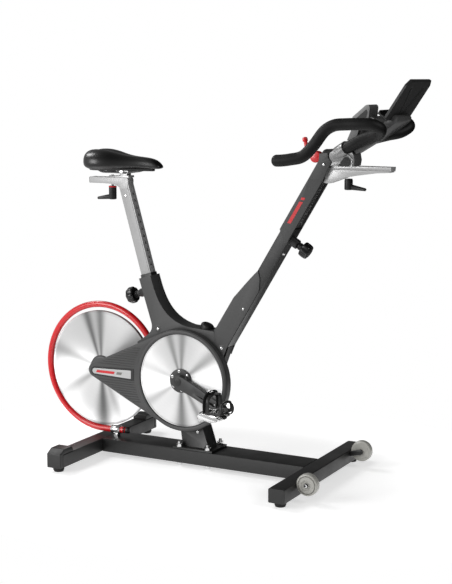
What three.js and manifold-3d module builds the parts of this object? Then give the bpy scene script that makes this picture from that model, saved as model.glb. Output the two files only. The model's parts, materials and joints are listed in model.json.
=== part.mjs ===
// Indoor spin bike, in millimetres. +X points forward, +Z up, the rider's right side is -Y.
// The origin is on the floor under the middle of the bike.

import * as THREE from 'three';
import { mergeVertices } from 'three/addons/utils/BufferGeometryUtils.js';
import Module from 'manifold-3d';

const wasm = await Module();
wasm.setup();

// ---------------------------------------------------------------- driving dimensions

const GAP = 0.3;                 // left between pieces that touch
const RUN = 0.4;                 // running clearance of shafts and slides
const FLOOR = 8.5;               // the feet's soles, above the layout's zero
const DATUM_X = 8;               // moves the layout so that its middle is at x 0

// base
const BAR_LENGTH = 551;          // crossbars, across the bike
const BAR_WIDTH = 48;
const BAR_BOTTOM = 23;
const BAR_TOP = 63;
const REAR_BAR_X = -411;
const FRONT_BAR_X = 312;
const CAP_THICKNESS = 13;
const SPINE_HALF_WIDTH = 50;
const FOOT_RADIUS = 16.5;
const FOOT_Y = 250;
const WHEEL_X = 368;
const WHEEL_Z = 62;
const WHEEL_RADIUS = 31;
const WHEEL_Y = [182, 206];

// pedestal and its bolts
const PLATE_TOP = 69.3;
const BOLT_X = [-121, -26];
const BOLT_Y = 40;

// drive
const CRANK_AXIS = [-112, 271];      // x, z
const CRANK_LENGTH = 170;
const CRANK_ANGLE = 22.3;            // degrees below the horizontal, pointing forward
const DISC_RADIUS = 138.5;
const COVER_RADIUS = 152;
const COVER_DEPTH = 45;              // outer face of each belt cover, from the midplane
const COVER_WALL = 2.5;
const COVER_OPEN_SIDE = 18;
const LEFT_COVER_RADIUS = 106;
const BELT_Y = -30;
const BELT_WIDTH = 11;
const DRIVE_PULLEY_RADIUS = 120;
const DRIVEN_PULLEY_RADIUS = 12;
const BELT_THICKNESS = 2.5;
const COVER_TIP = [-415, 274];
const COVER_TIP_RADIUS = 21.5;

// flywheel and its guard
const FLYWHEEL_AXIS = [-415, 272];
const FLYWHEEL_RADIUS = 178.5;
const FLYWHEEL_HALF_WIDTH = 6;
const HUB_RADIUS = 40;
const GUARD_CENTRE = [-413, 276];
const GUARD_RADIUS = 194.5;
const GUARD_TUBE_RADIUS = 9.75;

// seat post frame: its origin is the top of the seat tube, its z axis runs up the post
const SEAT_ORIGIN = [-247.6, 578];
const SEAT_TILT = -16;               // degrees about Y
const POST = [33, 30];               // along, across
const SEAT_TUBE_WALL = 1.5;
const SEAT_TUBE_LENGTH = 350;
const POST_TOP = 286;
const POST_BOTTOM = -198;
const RAIL_Z = [841.5, 860];
const SEAT_KNOB_Z = -53;
const SEAT_KNOB_RADIUS = 25;

// handlebar mast frame: its origin is on the mast's axis, its z axis runs up the mast
const MAST_ORIGIN = [199.5, 694.6];
const MAST_TILT = 31;
const MAST = [36, 50];
const MAST_WALL = 2.5;
const MAST_BOTTOM = -355;
const MAST_TOP = 57;
const BAR_POST = [30.2, 44.2];
const BAR_POST_BOTTOM = -135;
const BAR_KNOB_Z = 18;
const BAR_RAIL_TOP = 916;
const GRIP_RADIUS = 16.2;

// ---------------------------------------------------------------- materials

function paint(color, roughness, metalness) {
  return new THREE.MeshStandardMaterial({ color, roughness, metalness });
}

const greyPlastic = paint(0x5a5b5d, 0.6, 0);
const blackSteel = paint(0x2c2d2f, 0.45, 0.2);
const blackPlastic = paint(0x1b1b1c, 0.5, 0);
const rubber = paint(0x151515, 0.85, 0);
const redTube = paint(0xd3222e, 0.35, 0);
const aluminium = paint(0xc9cacb, 0.35, 0.9);
const chrome = paint(0xdadada, 0.1, 1);
const foam = paint(0x101010, 0.8, 0);
const gloss = paint(0x0c0c0d, 0.25, 0);
const wheelPlastic = paint(0xb4b4b0, 0.4, 0);

// ---------------------------------------------------------------- solids

const bike = new THREE.Group();
const up = new THREE.Vector3(0, 1, 0);
const degrees = Math.PI / 180;

// Merges shared vertices, drops empty triangles and turns the faces outward.
function closed(geometry) {
  const bare = geometry.index ? geometry.clone() : geometry;
  for (const name of Object.keys(bare.attributes)) {
    if (name !== 'position') bare.deleteAttribute(name);
  }
  const merged = mergeVertices(bare, 1e-3);
  const place = merged.attributes.position;
  const index = merged.index.array;
  const kept = [];
  const corner = [new THREE.Vector3(), new THREE.Vector3(), new THREE.Vector3()];
  let volume = 0;
  for (let i = 0; i < index.length; i += 3) {
    const [a, b, c] = [index[i], index[i + 1], index[i + 2]];
    if (a === b || b === c || c === a) continue;
    corner.forEach((v, k) => v.fromBufferAttribute(place, index[i + k]));
    volume += corner[0].dot(corner[1].clone().cross(corner[2]));
    kept.push(a, b, c);
  }
  if (volume < 0) kept.reverse();
  merged.setIndex(kept);
  return merged;
}

function toSolid(geometry) {
  const merged = closed(geometry);
  const vertProperties = new Float32Array(merged.attributes.position.array);
  const triVerts = new Uint32Array(merged.index.array);
  return new wasm.Manifold(new wasm.Mesh({ numProp: 3, vertProperties, triVerts }));
}

function fromSolid(solid) {
  const mesh = solid.getMesh();
  const geometry = new THREE.BufferGeometry();
  geometry.setAttribute('position', new THREE.BufferAttribute(mesh.vertProperties, 3));
  geometry.setIndex(Array.from(mesh.triVerts));
  return geometry;
}

function join(first, ...others) {
  return fromSolid(others.reduce((sum, other) => sum.add(toSolid(other)), toSolid(first)));
}

function cut(first, ...others) {
  return fromSolid(others.reduce((rest, other) => rest.subtract(toSolid(other)), toSolid(first)));
}

function common(first, second) {
  return fromSolid(toSolid(first).intersect(toSolid(second)));
}

function box(x0, x1, y0, y1, z0, z1) {
  const geometry = new THREE.BoxGeometry(x1 - x0, y1 - y0, z1 - z0);
  return geometry.translate((x0 + x1) / 2, (y0 + y1) / 2, (z0 + z1) / 2);
}

// A round bar from one point to another; endRadius makes it a cone.
function bar(from, to, radius, sides = 24, endRadius = radius) {
  const a = new THREE.Vector3(...from);
  const b = new THREE.Vector3(...to);
  const direction = b.clone().sub(a);
  const geometry = new THREE.CylinderGeometry(endRadius, radius, direction.length(), sides);
  geometry.applyQuaternion(new THREE.Quaternion().setFromUnitVectors(up, direction.normalize()));
  return geometry.translate(...a.add(b).multiplyScalar(0.5).toArray());
}

// A round piece on an axis along Y through [x, z]: each profile point is [radius, y].
function turned(profile, [x, z], sides = 48) {
  const points = profile.map(([r, y]) => new THREE.Vector2(r, y));
  points.push(points[0].clone());
  return new THREE.LatheGeometry(points, sides).translate(x, 0, z);
}

// A flat outline in X and Z, pulled along Y from y0 to y1.
function slab(outline, y0, y1, curveSegments = 24) {
  const shape = outline instanceof THREE.Shape ? outline : polygon(outline);
  const options = { depth: y1 - y0, bevelEnabled: false, curveSegments };
  return new THREE.ExtrudeGeometry(shape, options).rotateX(Math.PI / 2).translate(0, y1, 0);
}

function polygon(points) {
  return new THREE.Shape(points.map(([x, z]) => new THREE.Vector2(x, z)));
}

// A round tube of the given radius along a smooth curve through the points.
function tube(points, radius, sides, steps) {
  const curve = new THREE.CatmullRomCurve3(points.map((p) => new THREE.Vector3(...p)));
  const ring = new THREE.Shape();
  for (let i = 0; i < sides; i += 1) {
    const angle = (2 * Math.PI * i) / sides;
    const corner = [radius * Math.cos(angle), radius * Math.sin(angle)];
    if (i === 0) ring.moveTo(...corner);
    else ring.lineTo(...corner);
  }
  return new THREE.ExtrudeGeometry(ring, { steps, extrudePath: curve, bevelEnabled: false });
}

// A closed skin over oval sections: each is [x, half width, bottom z, top z].
function loft(sections, sides) {
  const corners = [];
  for (const [x, half, bottom, top] of sections) {
    for (let i = 0; i < sides; i += 1) {
      const angle = (2 * Math.PI * i) / sides;
      const y = half * Math.cos(angle);
      corners.push(x, y, (top + bottom) / 2 + ((top - bottom) / 2) * Math.sin(angle));
    }
  }
  const faces = [];
  const last = sections.length - 1;
  for (let s = 0; s < last; s += 1) {
    for (let i = 0; i < sides; i += 1) {
      const j = (i + 1) % sides;
      const [a, b] = [s * sides + i, s * sides + j];
      faces.push(a, b, b + sides, a, b + sides, a + sides);
    }
  }
  for (let i = 1; i < sides - 1; i += 1) {
    faces.push(0, i + 1, i);
    faces.push(last * sides, last * sides + i, last * sides + i + 1);
  }
  const geometry = new THREE.BufferGeometry();
  geometry.setAttribute('position', new THREE.Float32BufferAttribute(corners, 3));
  geometry.setIndex(faces);
  return geometry;
}

// Turns a piece drawn in a tilted frame into the bike's frame.
function tilted(geometry, [x, z], angle) {
  return geometry.rotateY(angle * degrees).translate(x, 0, z);
}

const onSeat = (geometry) => tilted(geometry, SEAT_ORIGIN, SEAT_TILT);
const onMast = (geometry) => tilted(geometry, MAST_ORIGIN, MAST_TILT);
const mirrored = (geometry) => geometry.clone().scale(1, -1, 1);

function add(name, geometry, material, parent = bike) {
  const mesh = new THREE.Mesh(closed(geometry).translate(DATUM_X, 0, -FLOOR), material);
  mesh.name = name;
  parent.add(mesh);
}

function addPair(name, geometry, material) {
  add(`${name}_right`, geometry, material);
  add(`${name}_left`, mirrored(geometry), material);
}

// ---------------------------------------------------------------- base

function crossbar(x, endGap) {
  const half = BAR_LENGTH / 2 - endGap;
  return box(x - BAR_WIDTH / 2, x + BAR_WIDTH / 2, -half, half, BAR_BOTTOM, BAR_TOP);
}

function baseBoltHoles() {
  const holes = [];
  for (const x of BOLT_X) {
    for (const y of [-BOLT_Y, BOLT_Y]) {
      holes.push(bar([x, y, BAR_BOTTOM - 5], [x, y, PLATE_TOP + 5], 5.6, 12));
    }
  }
  return holes;
}

function baseSpine() {
  const start = REAR_BAR_X + BAR_WIDTH / 2 + GAP;
  const end = FRONT_BAR_X - BAR_WIDTH / 2 - GAP;
  const beam = box(start, end, -SPINE_HALF_WIDTH, SPINE_HALF_WIDTH, BAR_BOTTOM, BAR_TOP);
  return cut(beam, ...baseBoltHoles());
}

// The raised wedge that closes the rear crossbar's right end.
function rearEndCap() {
  const outer = BAR_LENGTH / 2;
  const inner = outer - CAP_THICKNESS;
  const outline = [
    [outer, BAR_BOTTOM], [outer, BAR_TOP + 2], [outer - 22, BAR_TOP + 15],
    [outer - 62, BAR_TOP + 15], [outer - 70, BAR_TOP + GAP],
    [inner, BAR_TOP + GAP], [inner, BAR_BOTTOM],
  ];
  const wedge = slab(outline, -BAR_WIDTH / 2, BAR_WIDTH / 2);
  return wedge.rotateZ(-Math.PI / 2).translate(REAR_BAR_X, 0, 0);
}

function foot(x, y) {
  const top = BAR_BOTTOM - GAP;
  const middle = FLOOR + 6;
  return join(bar([x, y, FLOOR], [x, y, middle], FOOT_RADIUS - 2, 20, FOOT_RADIUS),
    bar([x, y, middle], [x, y, top], FOOT_RADIUS, 20));
}

function wheelBracket() {
  const front = FRONT_BAR_X + BAR_WIDTH / 2 + GAP;
  const side = [
    [front, WHEEL_Z - 16], [WHEEL_X + 2, WHEEL_Z - 9], [WHEEL_X + 8, WHEEL_Z - 5], [WHEEL_X + 8, WHEEL_Z + 4],
    [WHEEL_X + 2, WHEEL_Z + 8], [front, WHEEL_Z - 2],
  ];
  const tab = slab(side, -WHEEL_Y[0] + 2, -WHEEL_Y[0] + 8);
  const pin = bar([WHEEL_X, -WHEEL_Y[0] + 3, WHEEL_Z], [WHEEL_X, -WHEEL_Y[1] - 3, WHEEL_Z], 4, 16);
  const head = bar([WHEEL_X, -WHEEL_Y[1] - 1, WHEEL_Z], [WHEEL_X, -WHEEL_Y[1] - 4, WHEEL_Z], 7, 6);
  return join(tab, pin, head);
}

function transportWheel() {
  const bore = 4 + RUN;
  const [inner, outer] = [-WHEEL_Y[0], -WHEEL_Y[1]];
  const rim = WHEEL_RADIUS;
  const profile = [
    [bore, inner], [rim - 3, inner], [rim, inner - 4], [rim, outer + 6], [rim - 8, outer], [bore, outer],
  ];
  return turned(profile, [WHEEL_X, WHEEL_Z], 28);
}

function baseBolt(x, y) {
  const shank = bar([x, y, 15], [x, y, 86], 5, 12);
  const nut = bar([x, y, PLATE_TOP + GAP], [x, y, 79], 9.5, 6);
  const head = bar([x, y, 14], [x, y, BAR_BOTTOM - GAP], 8.5, 12);
  return join(shank, nut, head);
}

// ---------------------------------------------------------------- frame

// Belt cover outline: a small circle at the flywheel and a large one at the crank, joined by tangents.
function coverOutline(grow) {
  const [ax, az] = COVER_TIP;
  const [bx, bz] = CRANK_AXIS;
  const small = COVER_TIP_RADIUS + grow;
  const large = COVER_RADIUS + grow;
  return twoCircles(ax, az, small, bx, bz, large);
}

function twoCircles(ax, az, small, bx, bz, large) {
  const heading = Math.atan2(bz - az, bx - ax);
  const spread = Math.acos((small - large) / Math.hypot(bx - ax, bz - az));
  const shape = new THREE.Shape();
  shape.absarc(bx, bz, large, heading - spread, heading + spread, false);
  shape.absarc(ax, az, small, heading + spread, heading - spread + 2 * Math.PI, false);
  return shape;
}

function coverBlank(grow, y0, y1) {
  return slab(coverOutline(grow), y0, y1, 20);
}

function seatTubeBlock(grow, z0, z1) {
  const x = POST[0] / 2 + RUN + SEAT_TUBE_WALL + grow;
  const y = POST[1] / 2 + RUN + SEAT_TUBE_WALL + grow;
  return onSeat(box(-x, x, -y, y, z0, z1));
}

function seatKnobBoss(radius) {
  const start = -POST[0] / 2 - RUN - 0.5;
  return onSeat(bar([start, 0, SEAT_KNOB_Z], [-42, 0, SEAT_KNOB_Z], radius, 20));
}

function seatTube() {
  const x = POST[0] / 2 + RUN;
  const y = POST[1] / 2 + RUN;
  const bore = onSeat(box(-x, x, -y, y, -SEAT_TUBE_LENGTH - 5, 5));
  const pinHole = onSeat(bar([-10, 0, SEAT_KNOB_Z], [-50, 0, SEAT_KNOB_Z], 6.5, 16));
  return cut(join(seatTubeBlock(0, -SEAT_TUBE_LENGTH, -1), seatKnobBoss(13)), bore, pinHole);
}

function mastBlock(grow, z0, z1) {
  const [x, y] = [MAST[0] / 2 + grow, MAST[1] / 2 + grow];
  return onMast(box(-x, x, -y, y, z0, z1));
}

function barKnobBoss(radius) {
  return onMast(bar([MAST[0] / 2 - 1, 0, BAR_KNOB_Z], [40, 0, BAR_KNOB_Z], radius, 20));
}

function mastTube() {
  const x = BAR_POST[0] / 2 + RUN;
  const y = BAR_POST[1] / 2 + RUN;
  const bore = onMast(box(-x, x, -y, y, BAR_POST_BOTTOM - 120, MAST_TOP + 5));
  const pinHole = onMast(bar([8, 0, BAR_KNOB_Z], [50, 0, BAR_KNOB_Z], 6.5, 16));
  return cut(join(mastBlock(0, MAST_BOTTOM, MAST_TOP), barKnobBoss(14)), bore, pinHole);
}

const COLUMN_HALF_WIDTH = 27;

function columnOutline(bottom) {
  return [[-117, bottom], [-28, bottom], [-50, 133], [-126, 133]];
}

// Steel box on the base plate that carries the frame.
function pedestal() {
  const plate = box(-140, -8, -SPINE_HALF_WIDTH + 2, SPINE_HALF_WIDTH - 2, BAR_TOP + GAP, PLATE_TOP);
  const column = slab(columnOutline(66), -COLUMN_HALF_WIDTH, COLUMN_HALF_WIDTH);
  const clear = coverBlank(GAP, -60, 60);
  return cut(join(plate, cut(column, clear)), ...baseBoltHoles());
}

// Where the frame's web meets the front of the seat tube, by height.
function seatTubeFront(z) {
  const half = POST[0] / 2 + RUN + SEAT_TUBE_WALL + GAP;
  const slope = Math.tan(SEAT_TILT * degrees);
  return SEAT_ORIGIN[0] + (z - SEAT_ORIGIN[1]) * slope + half / Math.cos(SEAT_TILT * degrees);
}

const WEB_HALF_WIDTH = 16;
const WEB_OUTLINE = [
  [-118, 122], [seatTubeFront(244), 244], [seatTubeFront(432), 432], [-150, 436],
  [-62, 413], [0.4, 399.2], [31.2, 380.6], [-2, 290], [-52, 122],
];

function frameWeb() {
  const web = slab(WEB_OUTLINE, -WEB_HALF_WIDTH, WEB_HALF_WIDTH);
  const [x, z] = CRANK_AXIS;
  const shell = bar([x, -21, z], [x, 21, z], 25.5, 32);
  const bore = bar([x, -30, z], [x, 30, z], 12 + RUN, 32);
  const below = cut(box(-160, 20, -40, 40, 90, 140), coverBlank(0, -60, 60));
  return cut(join(web, shell), bore, below);
}

// Two plates from the seat tube back to the flywheel's axle.
function flywheelArm() {
  const rear = (z) => seatTubeFront(z) - 2 * (POST[0] / 2 + RUN + SEAT_TUBE_WALL + GAP)
    / Math.cos(SEAT_TILT * degrees);
  const [x, z] = FLYWHEEL_AXIS;
  const outline = [
    [x, z + 20], [x + 60, z + 24], [rear(345), 345], [rear(248), 248], [x + 60, z - 20], [x, z - 20],
  ];
  const plate = join(slab(outline, -17.5, -11.5), bar([x, -17.5, z], [x, -11.5, z], 20, 32));
  return cut(plate, bar([x, -30, z], [x, 0, z], 11.2 + RUN, 24));
}

function flywheelAxle() {
  const [x, z] = FLYWHEEL_AXIS;
  const shaft = bar([x, -39, z], [x, 19, z], 6, 24);
  return join(shaft, bar([x, 11, z], [x, 19, z], 11.2, 24));
}

function seatTubeCover() {
  const shape = new THREE.Shape();
  shape.moveTo(-264.5, 563);
  shape.lineTo(-225.5, 574.5);
  shape.bezierCurveTo(-204.8, 502.4, -180, 447, -100, 430);
  shape.lineTo(-12, 424);
  shape.lineTo(-2, 360);
  shape.lineTo(-150, 300);
  shape.lineTo(-272, 362);
  shape.lineTo(-272, 371);
  shape.lineTo(-242, 391);
  shape.bezierCurveTo(-224, 404, -218, 416, -223, 434);
  const blank = slab(shape, -27, 27, 14);
  const [x, z] = GUARD_CENTRE;
  const wheelSpace = bar([x, -12, z], [x, 12, z], GUARD_RADIUS + GUARD_TUBE_RADIUS + 2, 64);
  return cut(blank, coverBlank(GAP + 0.1, -60, 60), seatTubeBlock(GAP, -360, 20), seatKnobBoss(13 + GAP),
    slab(grownWeb(), -WEB_HALF_WIDTH - GAP, WEB_HALF_WIDTH + GAP), mastCoverBlank(GAP),
    mastBlock(GAP, MAST_BOTTOM - 1, 60), framePlugBlock(0.6), wheelSpace);
}

// The web's outline spread by the touching gap, near enough for a clearance cut.
function grownWeb() {
  const [cx, cz] = [-80, 290];
  const grow = (v, c) => v + Math.sign(v - c) * 1.2;
  return WEB_OUTLINE.map(([x, z]) => [grow(x, cx), grow(z, cz)]);
}

function mastCoverBlank(grow) {
  const shape = new THREE.Shape();
  shape.moveTo(-10 - grow, 430);
  shape.lineTo(-2 - grow, 440);
  shape.lineTo(54 - grow, 531);
  shape.bezierCurveTo(62 - grow, 538, 100, 584, 131.5, 613);
  shape.lineTo(137, 588);
  shape.lineTo(134, 553);
  shape.lineTo(32, 383);
  shape.lineTo(14, 340 - grow);
  shape.lineTo(-10 - grow, 360);
  return slab(shape, -28 - grow, 28 + grow, 10);
}

function mastCover() {
  const slot = MAST[0] / 2 + GAP;
  const channel = onMast(box(-slot, 60, -MAST[1] / 2 - GAP, MAST[1] / 2 + GAP, -420, 80));
  return cut(mastCoverBlank(0), channel, coverBlank(GAP + 0.1, -60, 60),
    slab(grownWeb(), -WEB_HALF_WIDTH - GAP, WEB_HALF_WIDTH + GAP), framePlugBlock(0.6));
}

// Round plug in the crotch between the seat tube and the mast.
function framePlugBlock(grow) {
  const base = bar([-54 - grow, 0, 416 - 3 * grow], [-46, 0, 436 + grow], 20 + grow, 24);
  return join(base, bar([-46, 0, 436 + grow], [-44.4, 0, 440 + grow], 20 + grow, 24, 15 + grow));
}

function framePlug() {
  return cut(framePlugBlock(0), slab(grownWeb(), -40, 40));
}

// Hollow cover, open towards the frame, with a round hole for what turns in it.
function beltCoverRight() {
  const [outer, inner] = [-COVER_DEPTH, -COVER_OPEN_SIDE];
  const shell = coverBlank(0, outer, inner);
  const inside = coverBlank(-COVER_WALL, outer + COVER_WALL, 5);
  const [x, z] = CRANK_AXIS;
  return cut(shell, inside, bar([x, -60, z], [x, 0, z], DISC_RADIUS + 1, 64));
}

function beltCoverLeft() {
  const blank = (grow, y0, y1) => {
    const large = LEFT_COVER_RADIUS + grow;
    return slab(twoCircles(...COVER_TIP, COVER_TIP_RADIUS + grow, ...CRANK_AXIS, large), y0, y1, 20);
  };
  const shell = blank(0, COVER_OPEN_SIDE, COVER_DEPTH);
  const inside = blank(-COVER_WALL, -5, COVER_DEPTH - COVER_WALL);
  const [x, z] = CRANK_AXIS;
  return cut(shell, inside, bar([x, 20, z], [x, 60, z], 30, 48));
}

// ---------------------------------------------------------------- flywheel guard

// Round the back of the flywheel, from behind the seat tube to a level end over the base.
function guardPath() {
  const [x, z] = GUARD_CENTRE;
  const points = [];
  for (let angle = 14; angle <= 262; angle += 12.4) {
    const turn = angle * degrees;
    points.push([x + GUARD_RADIUS * Math.cos(turn), 0, z + GUARD_RADIUS * Math.sin(turn)]);
  }
  points.push([x + 10, 0, z - GUARD_RADIUS + 0.5]);
  points.push([x + 46, 0, z - GUARD_RADIUS + 1.5]);
  points.push([x + 84, 0, z - GUARD_RADIUS + 3]);
  return points;
}

function guardClamp() {
  const [x, z] = [GUARD_CENTRE[0] + 30, GUARD_CENTRE[1] - GUARD_RADIUS + 1];
  const [ahead, rise] = [32, 1];
  const from = [x, 0, z];
  const to = [x + ahead, 0, z + rise];
  const ring = bar(from, to, GUARD_TUBE_RADIUS + 2.6, 28);
  const hole = bar([x - ahead, 0, z - rise], [x + 2 * ahead, 0, z + 2 * rise], GUARD_TUBE_RADIUS + 0.7, 28);
  const foot = box(x + 10, x + 24, -8, 8, BAR_TOP + GAP, z - GUARD_TUBE_RADIUS);
  return cut(join(ring, foot), hole);
}

// ---------------------------------------------------------------- drive train

function driveBelt() {
  const [ax, az] = FLYWHEEL_AXIS;
  const [bx, bz] = CRANK_AXIS;
  const [small, large] = [DRIVEN_PULLEY_RADIUS + GAP, DRIVE_PULLEY_RADIUS + GAP];
  const y0 = BELT_Y - BELT_WIDTH / 2;
  const y1 = BELT_Y + BELT_WIDTH / 2;
  const outer = twoCircles(ax, az, small + BELT_THICKNESS, bx, bz, large + BELT_THICKNESS);
  const inner = twoCircles(ax, az, small + 0.2, bx, bz, large + 0.2);
  return cut(slab(outer, y0, y1, 16), slab(inner, y0 - 5, y1 + 5, 16));
}

const axleEnd = 51.5;

function crankAxle() {
  const flange = COVER_DEPTH + GAP;
  const profile = [
    [0, -axleEnd], [12, -axleEnd], [12, -48.4], [36, -48.4], [36, -flange], [12, -flange],
    [12, axleEnd], [0, axleEnd],
  ];
  return turned(profile, CRANK_AXIS, 32);
}

function frontDisc() {
  const [back, front] = [-COVER_DEPTH + 1.8, -COVER_DEPTH];
  const bore = 12 + GAP;
  return turned([[bore, front], [DISC_RADIUS, front], [DISC_RADIUS, back], [bore, back]], CRANK_AXIS, 64);
}

function drivePulley() {
  const y0 = BELT_Y - BELT_WIDTH / 2;
  const y1 = BELT_Y + BELT_WIDTH / 2;
  const bore = 12 + GAP;
  const rim = DRIVE_PULLEY_RADIUS;
  const profile = [
    [bore, y0], [30, y0], [32, y0 + 4], [rim - 8, y0 + 4], [rim - 6, y0], [rim, y0], [rim, y1], [bore, y1],
  ];
  return turned(profile, CRANK_AXIS, 48);
}

// The right arm, drawn pointing along +X from the crank's axis and then turned down.
function crankArm(angle) {
  const [root, tip] = [-49, -84];
  const side = new THREE.Shape();
  side.moveTo(-21, root);
  side.lineTo(24, root);
  side.bezierCurveTo(70, root - 2, 110, tip + 14, CRANK_LENGTH + 15, tip + 14);
  side.lineTo(CRANK_LENGTH + 15, tip);
  side.bezierCurveTo(110, tip, 80, -68, 24, -67);
  side.lineTo(-21, -67);
  const profile = new THREE.ExtrudeGeometry(side, { depth: 60, bevelEnabled: false, curveSegments: 6 });
  profile.translate(0, 0, -30);
  const face = slab(twoCircles(CRANK_LENGTH, 0, 13.5, 0, 0, 19.5), -90, -40, 10);
  const axleHole = bar([0, -axleEnd - 1, 0], [0, 0, 0], 12 + GAP, 24);
  const groove = box(32, 138, -95, -73.5, -4.5, 4.5).rotateZ(3 * degrees);
  const pedalHole = bar([CRANK_LENGTH, -100, 0], [CRANK_LENGTH, -60, 0], 6.2, 16);
  const arm = cut(common(profile, face), axleHole, groove, pedalHole);
  return arm.rotateY(angle * degrees).translate(CRANK_AXIS[0], 0, CRANK_AXIS[1]);
}

function pedalPlace() {
  const angle = CRANK_ANGLE * degrees;
  const x = CRANK_AXIS[0] + CRANK_LENGTH * Math.cos(angle);
  return [x, CRANK_AXIS[1] - CRANK_LENGTH * Math.sin(angle)];
}

// The right pedal about its own axle, level, toes forward.
function pedal() {
  const body = slab([[-24, -7], [22, -9], [30, -3], [30, 5], [22, 8], [-24, 8], [-30, 2]], -178, -98);
  const windows = [box(-21, -9, -165, -111, -20, 20), box(9, 21, -165, -111, -20, 20)];
  const spindle = bar([0, -71, 0], [0, -97, 0], 5.8, 16);
  const collar = bar([0, -84.4, 0], [0, -100, 0], 7.8, 16);
  return join(cut(body, ...windows), spindle, collar);
}

// Toe cage: a hoop over the toes, joined to a strap arch by two side rails.
function toeCage() {
  const bottom = 8 + GAP;
  const arch = (x0, x1, half, height) => {
    const outer = new THREE.Shape();
    outer.moveTo(-half, bottom);
    outer.lineTo(-half, height - 22);
    outer.bezierCurveTo(-half, height, -half + 16, height, 0, height);
    outer.bezierCurveTo(half - 16, height, half, height, half, height - 22);
    outer.lineTo(half, bottom);
    outer.lineTo(half - 4, bottom);
    outer.lineTo(half - 4, height - 24);
    outer.bezierCurveTo(half - 5, height - 4, half - 18, height - 4, 0, height - 4);
    outer.bezierCurveTo(-half + 18, height - 4, -half + 5, height - 4, -half + 4, height - 24);
    outer.lineTo(-half + 4, bottom);
    const ring = new THREE.ExtrudeGeometry(outer, { depth: x1 - x0, bevelEnabled: false, curveSegments: 5 });
    return ring.rotateX(Math.PI / 2).rotateZ(Math.PI / 2).translate(x0, -138, 0);
  };
  const plate = box(20, 44, -176, -100, bottom, bottom + 3);
  const rails = [box(-6, 44, -178, -174, bottom, bottom + 6), box(-6, 44, -102, -98, bottom, bottom + 6)];
  return join(arch(-6, 8, 40, 62), arch(38, 44, 34, 44), plate, ...rails);
}

function flywheelHub() {
  const pulley = BELT_WIDTH / 2;
  const side = FLYWHEEL_HALF_WIDTH + GAP;
  const bore = 6 + RUN;
  const profile = [
    [bore, BELT_Y - pulley], [DRIVEN_PULLEY_RADIUS, BELT_Y - pulley],
    [DRIVEN_PULLEY_RADIUS, BELT_Y + pulley], [11, BELT_Y + pulley], [11, -11],
    [HUB_RADIUS - 6, -11], [HUB_RADIUS, -side], [19.7, -side], [19.7, 10.6], [bore, 10.6],
  ];
  return turned(profile, FLYWHEEL_AXIS, 32);
}

function flywheelDisc() {
  const side = FLYWHEEL_HALF_WIDTH;
  const rim = FLYWHEEL_RADIUS;
  const profile = [
    [20, -side], [rim - 1.5, -side], [rim, -side + 1.5], [rim, side - 1.5], [rim - 1.5, side], [20, side],
  ];
  return turned(profile, FLYWHEEL_AXIS, 72);
}

const MAGNET_PIVOT = [-224, 200];

// Two magnet jaws beside the flywheel's front rim, on a yoke in front of it.
function magnetCarrier() {
  const outline = [
    [-318, 228], [-288, 200], [-238, 184], [-212, 196], [-212, 262], [-248, 262], [-300, 252],
  ];
  const jaws = slab(outline, -10.5, 10.5);
  const [x, z] = FLYWHEEL_AXIS;
  const wheelSpace = bar([x, -7.2, z], [x, 7.2, z], FLYWHEEL_RADIUS + 10, 48);
  const pinHole = bar([MAGNET_PIVOT[0], -20, MAGNET_PIVOT[1]], [MAGNET_PIVOT[0], 20, MAGNET_PIVOT[1]], 5, 16);
  return cut(jaws, wheelSpace, pinHole);
}

// ---------------------------------------------------------------- seat

function knob(reach, stemEnd, tipEnd, radius) {
  const lobes = new THREE.Shape();
  const count = 8;
  const points = 4 * count;
  for (let i = 0; i < points; i += 1) {
    const angle = (2 * Math.PI * i) / points;
    const r = radius - 2 + 2 * Math.cos(count * angle);
    if (i === 0) lobes.moveTo(r * Math.cos(angle), r * Math.sin(angle));
    else lobes.lineTo(r * Math.cos(angle), r * Math.sin(angle));
  }
  const head = new THREE.ExtrudeGeometry(lobes, {
    depth: 16, steps: 1, bevelThickness: 4, bevelSize: 3, bevelOffset: -3, bevelSegments: 1,
  });
  head.rotateY(Math.PI / 2).translate(reach, 0, 0);
  const stem = bar([reach + 2, 0, 0], [stemEnd, 0, 0], 10, 20, 11.5);
  const pin = bar([stemEnd + 1, 0, 0], [tipEnd, 0, 0], 6, 16);
  return join(head, stem, pin);
}

// Pull knobs are drawn with the head towards +X and turned to face outward.
function seatKnob() {
  const piece = knob(66, 42 + GAP + 0.2, POST[0] / 2 + RUN + 0.3, SEAT_KNOB_RADIUS);
  return onSeat(piece.rotateZ(Math.PI).translate(0, 0, SEAT_KNOB_Z));
}

function barKnob() {
  return onMast(knob(61, 40 + GAP + 0.2, BAR_POST[0] / 2 + 0.5, 23).translate(0, 0, BAR_KNOB_Z));
}

// Post with the level rail for the saddle on its head.
function seatPost() {
  const [x, y] = [POST[0] / 2, POST[1] / 2];
  const post = onSeat(box(-x, x, -y, y, POST_BOTTOM, POST_TOP - 8));
  const [low, high] = RAIL_Z;
  const shape = new THREE.Shape();
  shape.moveTo(-441, high);
  shape.lineTo(-309, high);
  shape.lineTo(-306, high - 8);
  shape.lineTo(-308, 826);
  shape.lineTo(-334, 826);
  shape.bezierCurveTo(-340, 838, -356, low, -394, low);
  shape.lineTo(-441, low);
  const rail = slab(shape, -y - 1, y + 1, 8);
  const slot = box(-428, -330, -5, 5, low - 20, high + 5);
  return cut(join(post, rail), slot);
}

function seatSlider() {
  const floor = RAIL_Z[1] + GAP;
  const shoe = box(-352, -304, -16, 16, floor, floor + 6);
  const tower = box(-336, -312, -12, 12, floor + 2, 880);
  const jaw = box(-345, -303, -21, 21, 874, 884);
  const stud = bar([-370, 0, 835], [-370, 0, floor + 7], 4, 12);
  const tongue = box(-378, -340, -9, 9, floor, floor + 5);
  return join(shoe, tower, jaw, stud, tongue);
}

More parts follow.
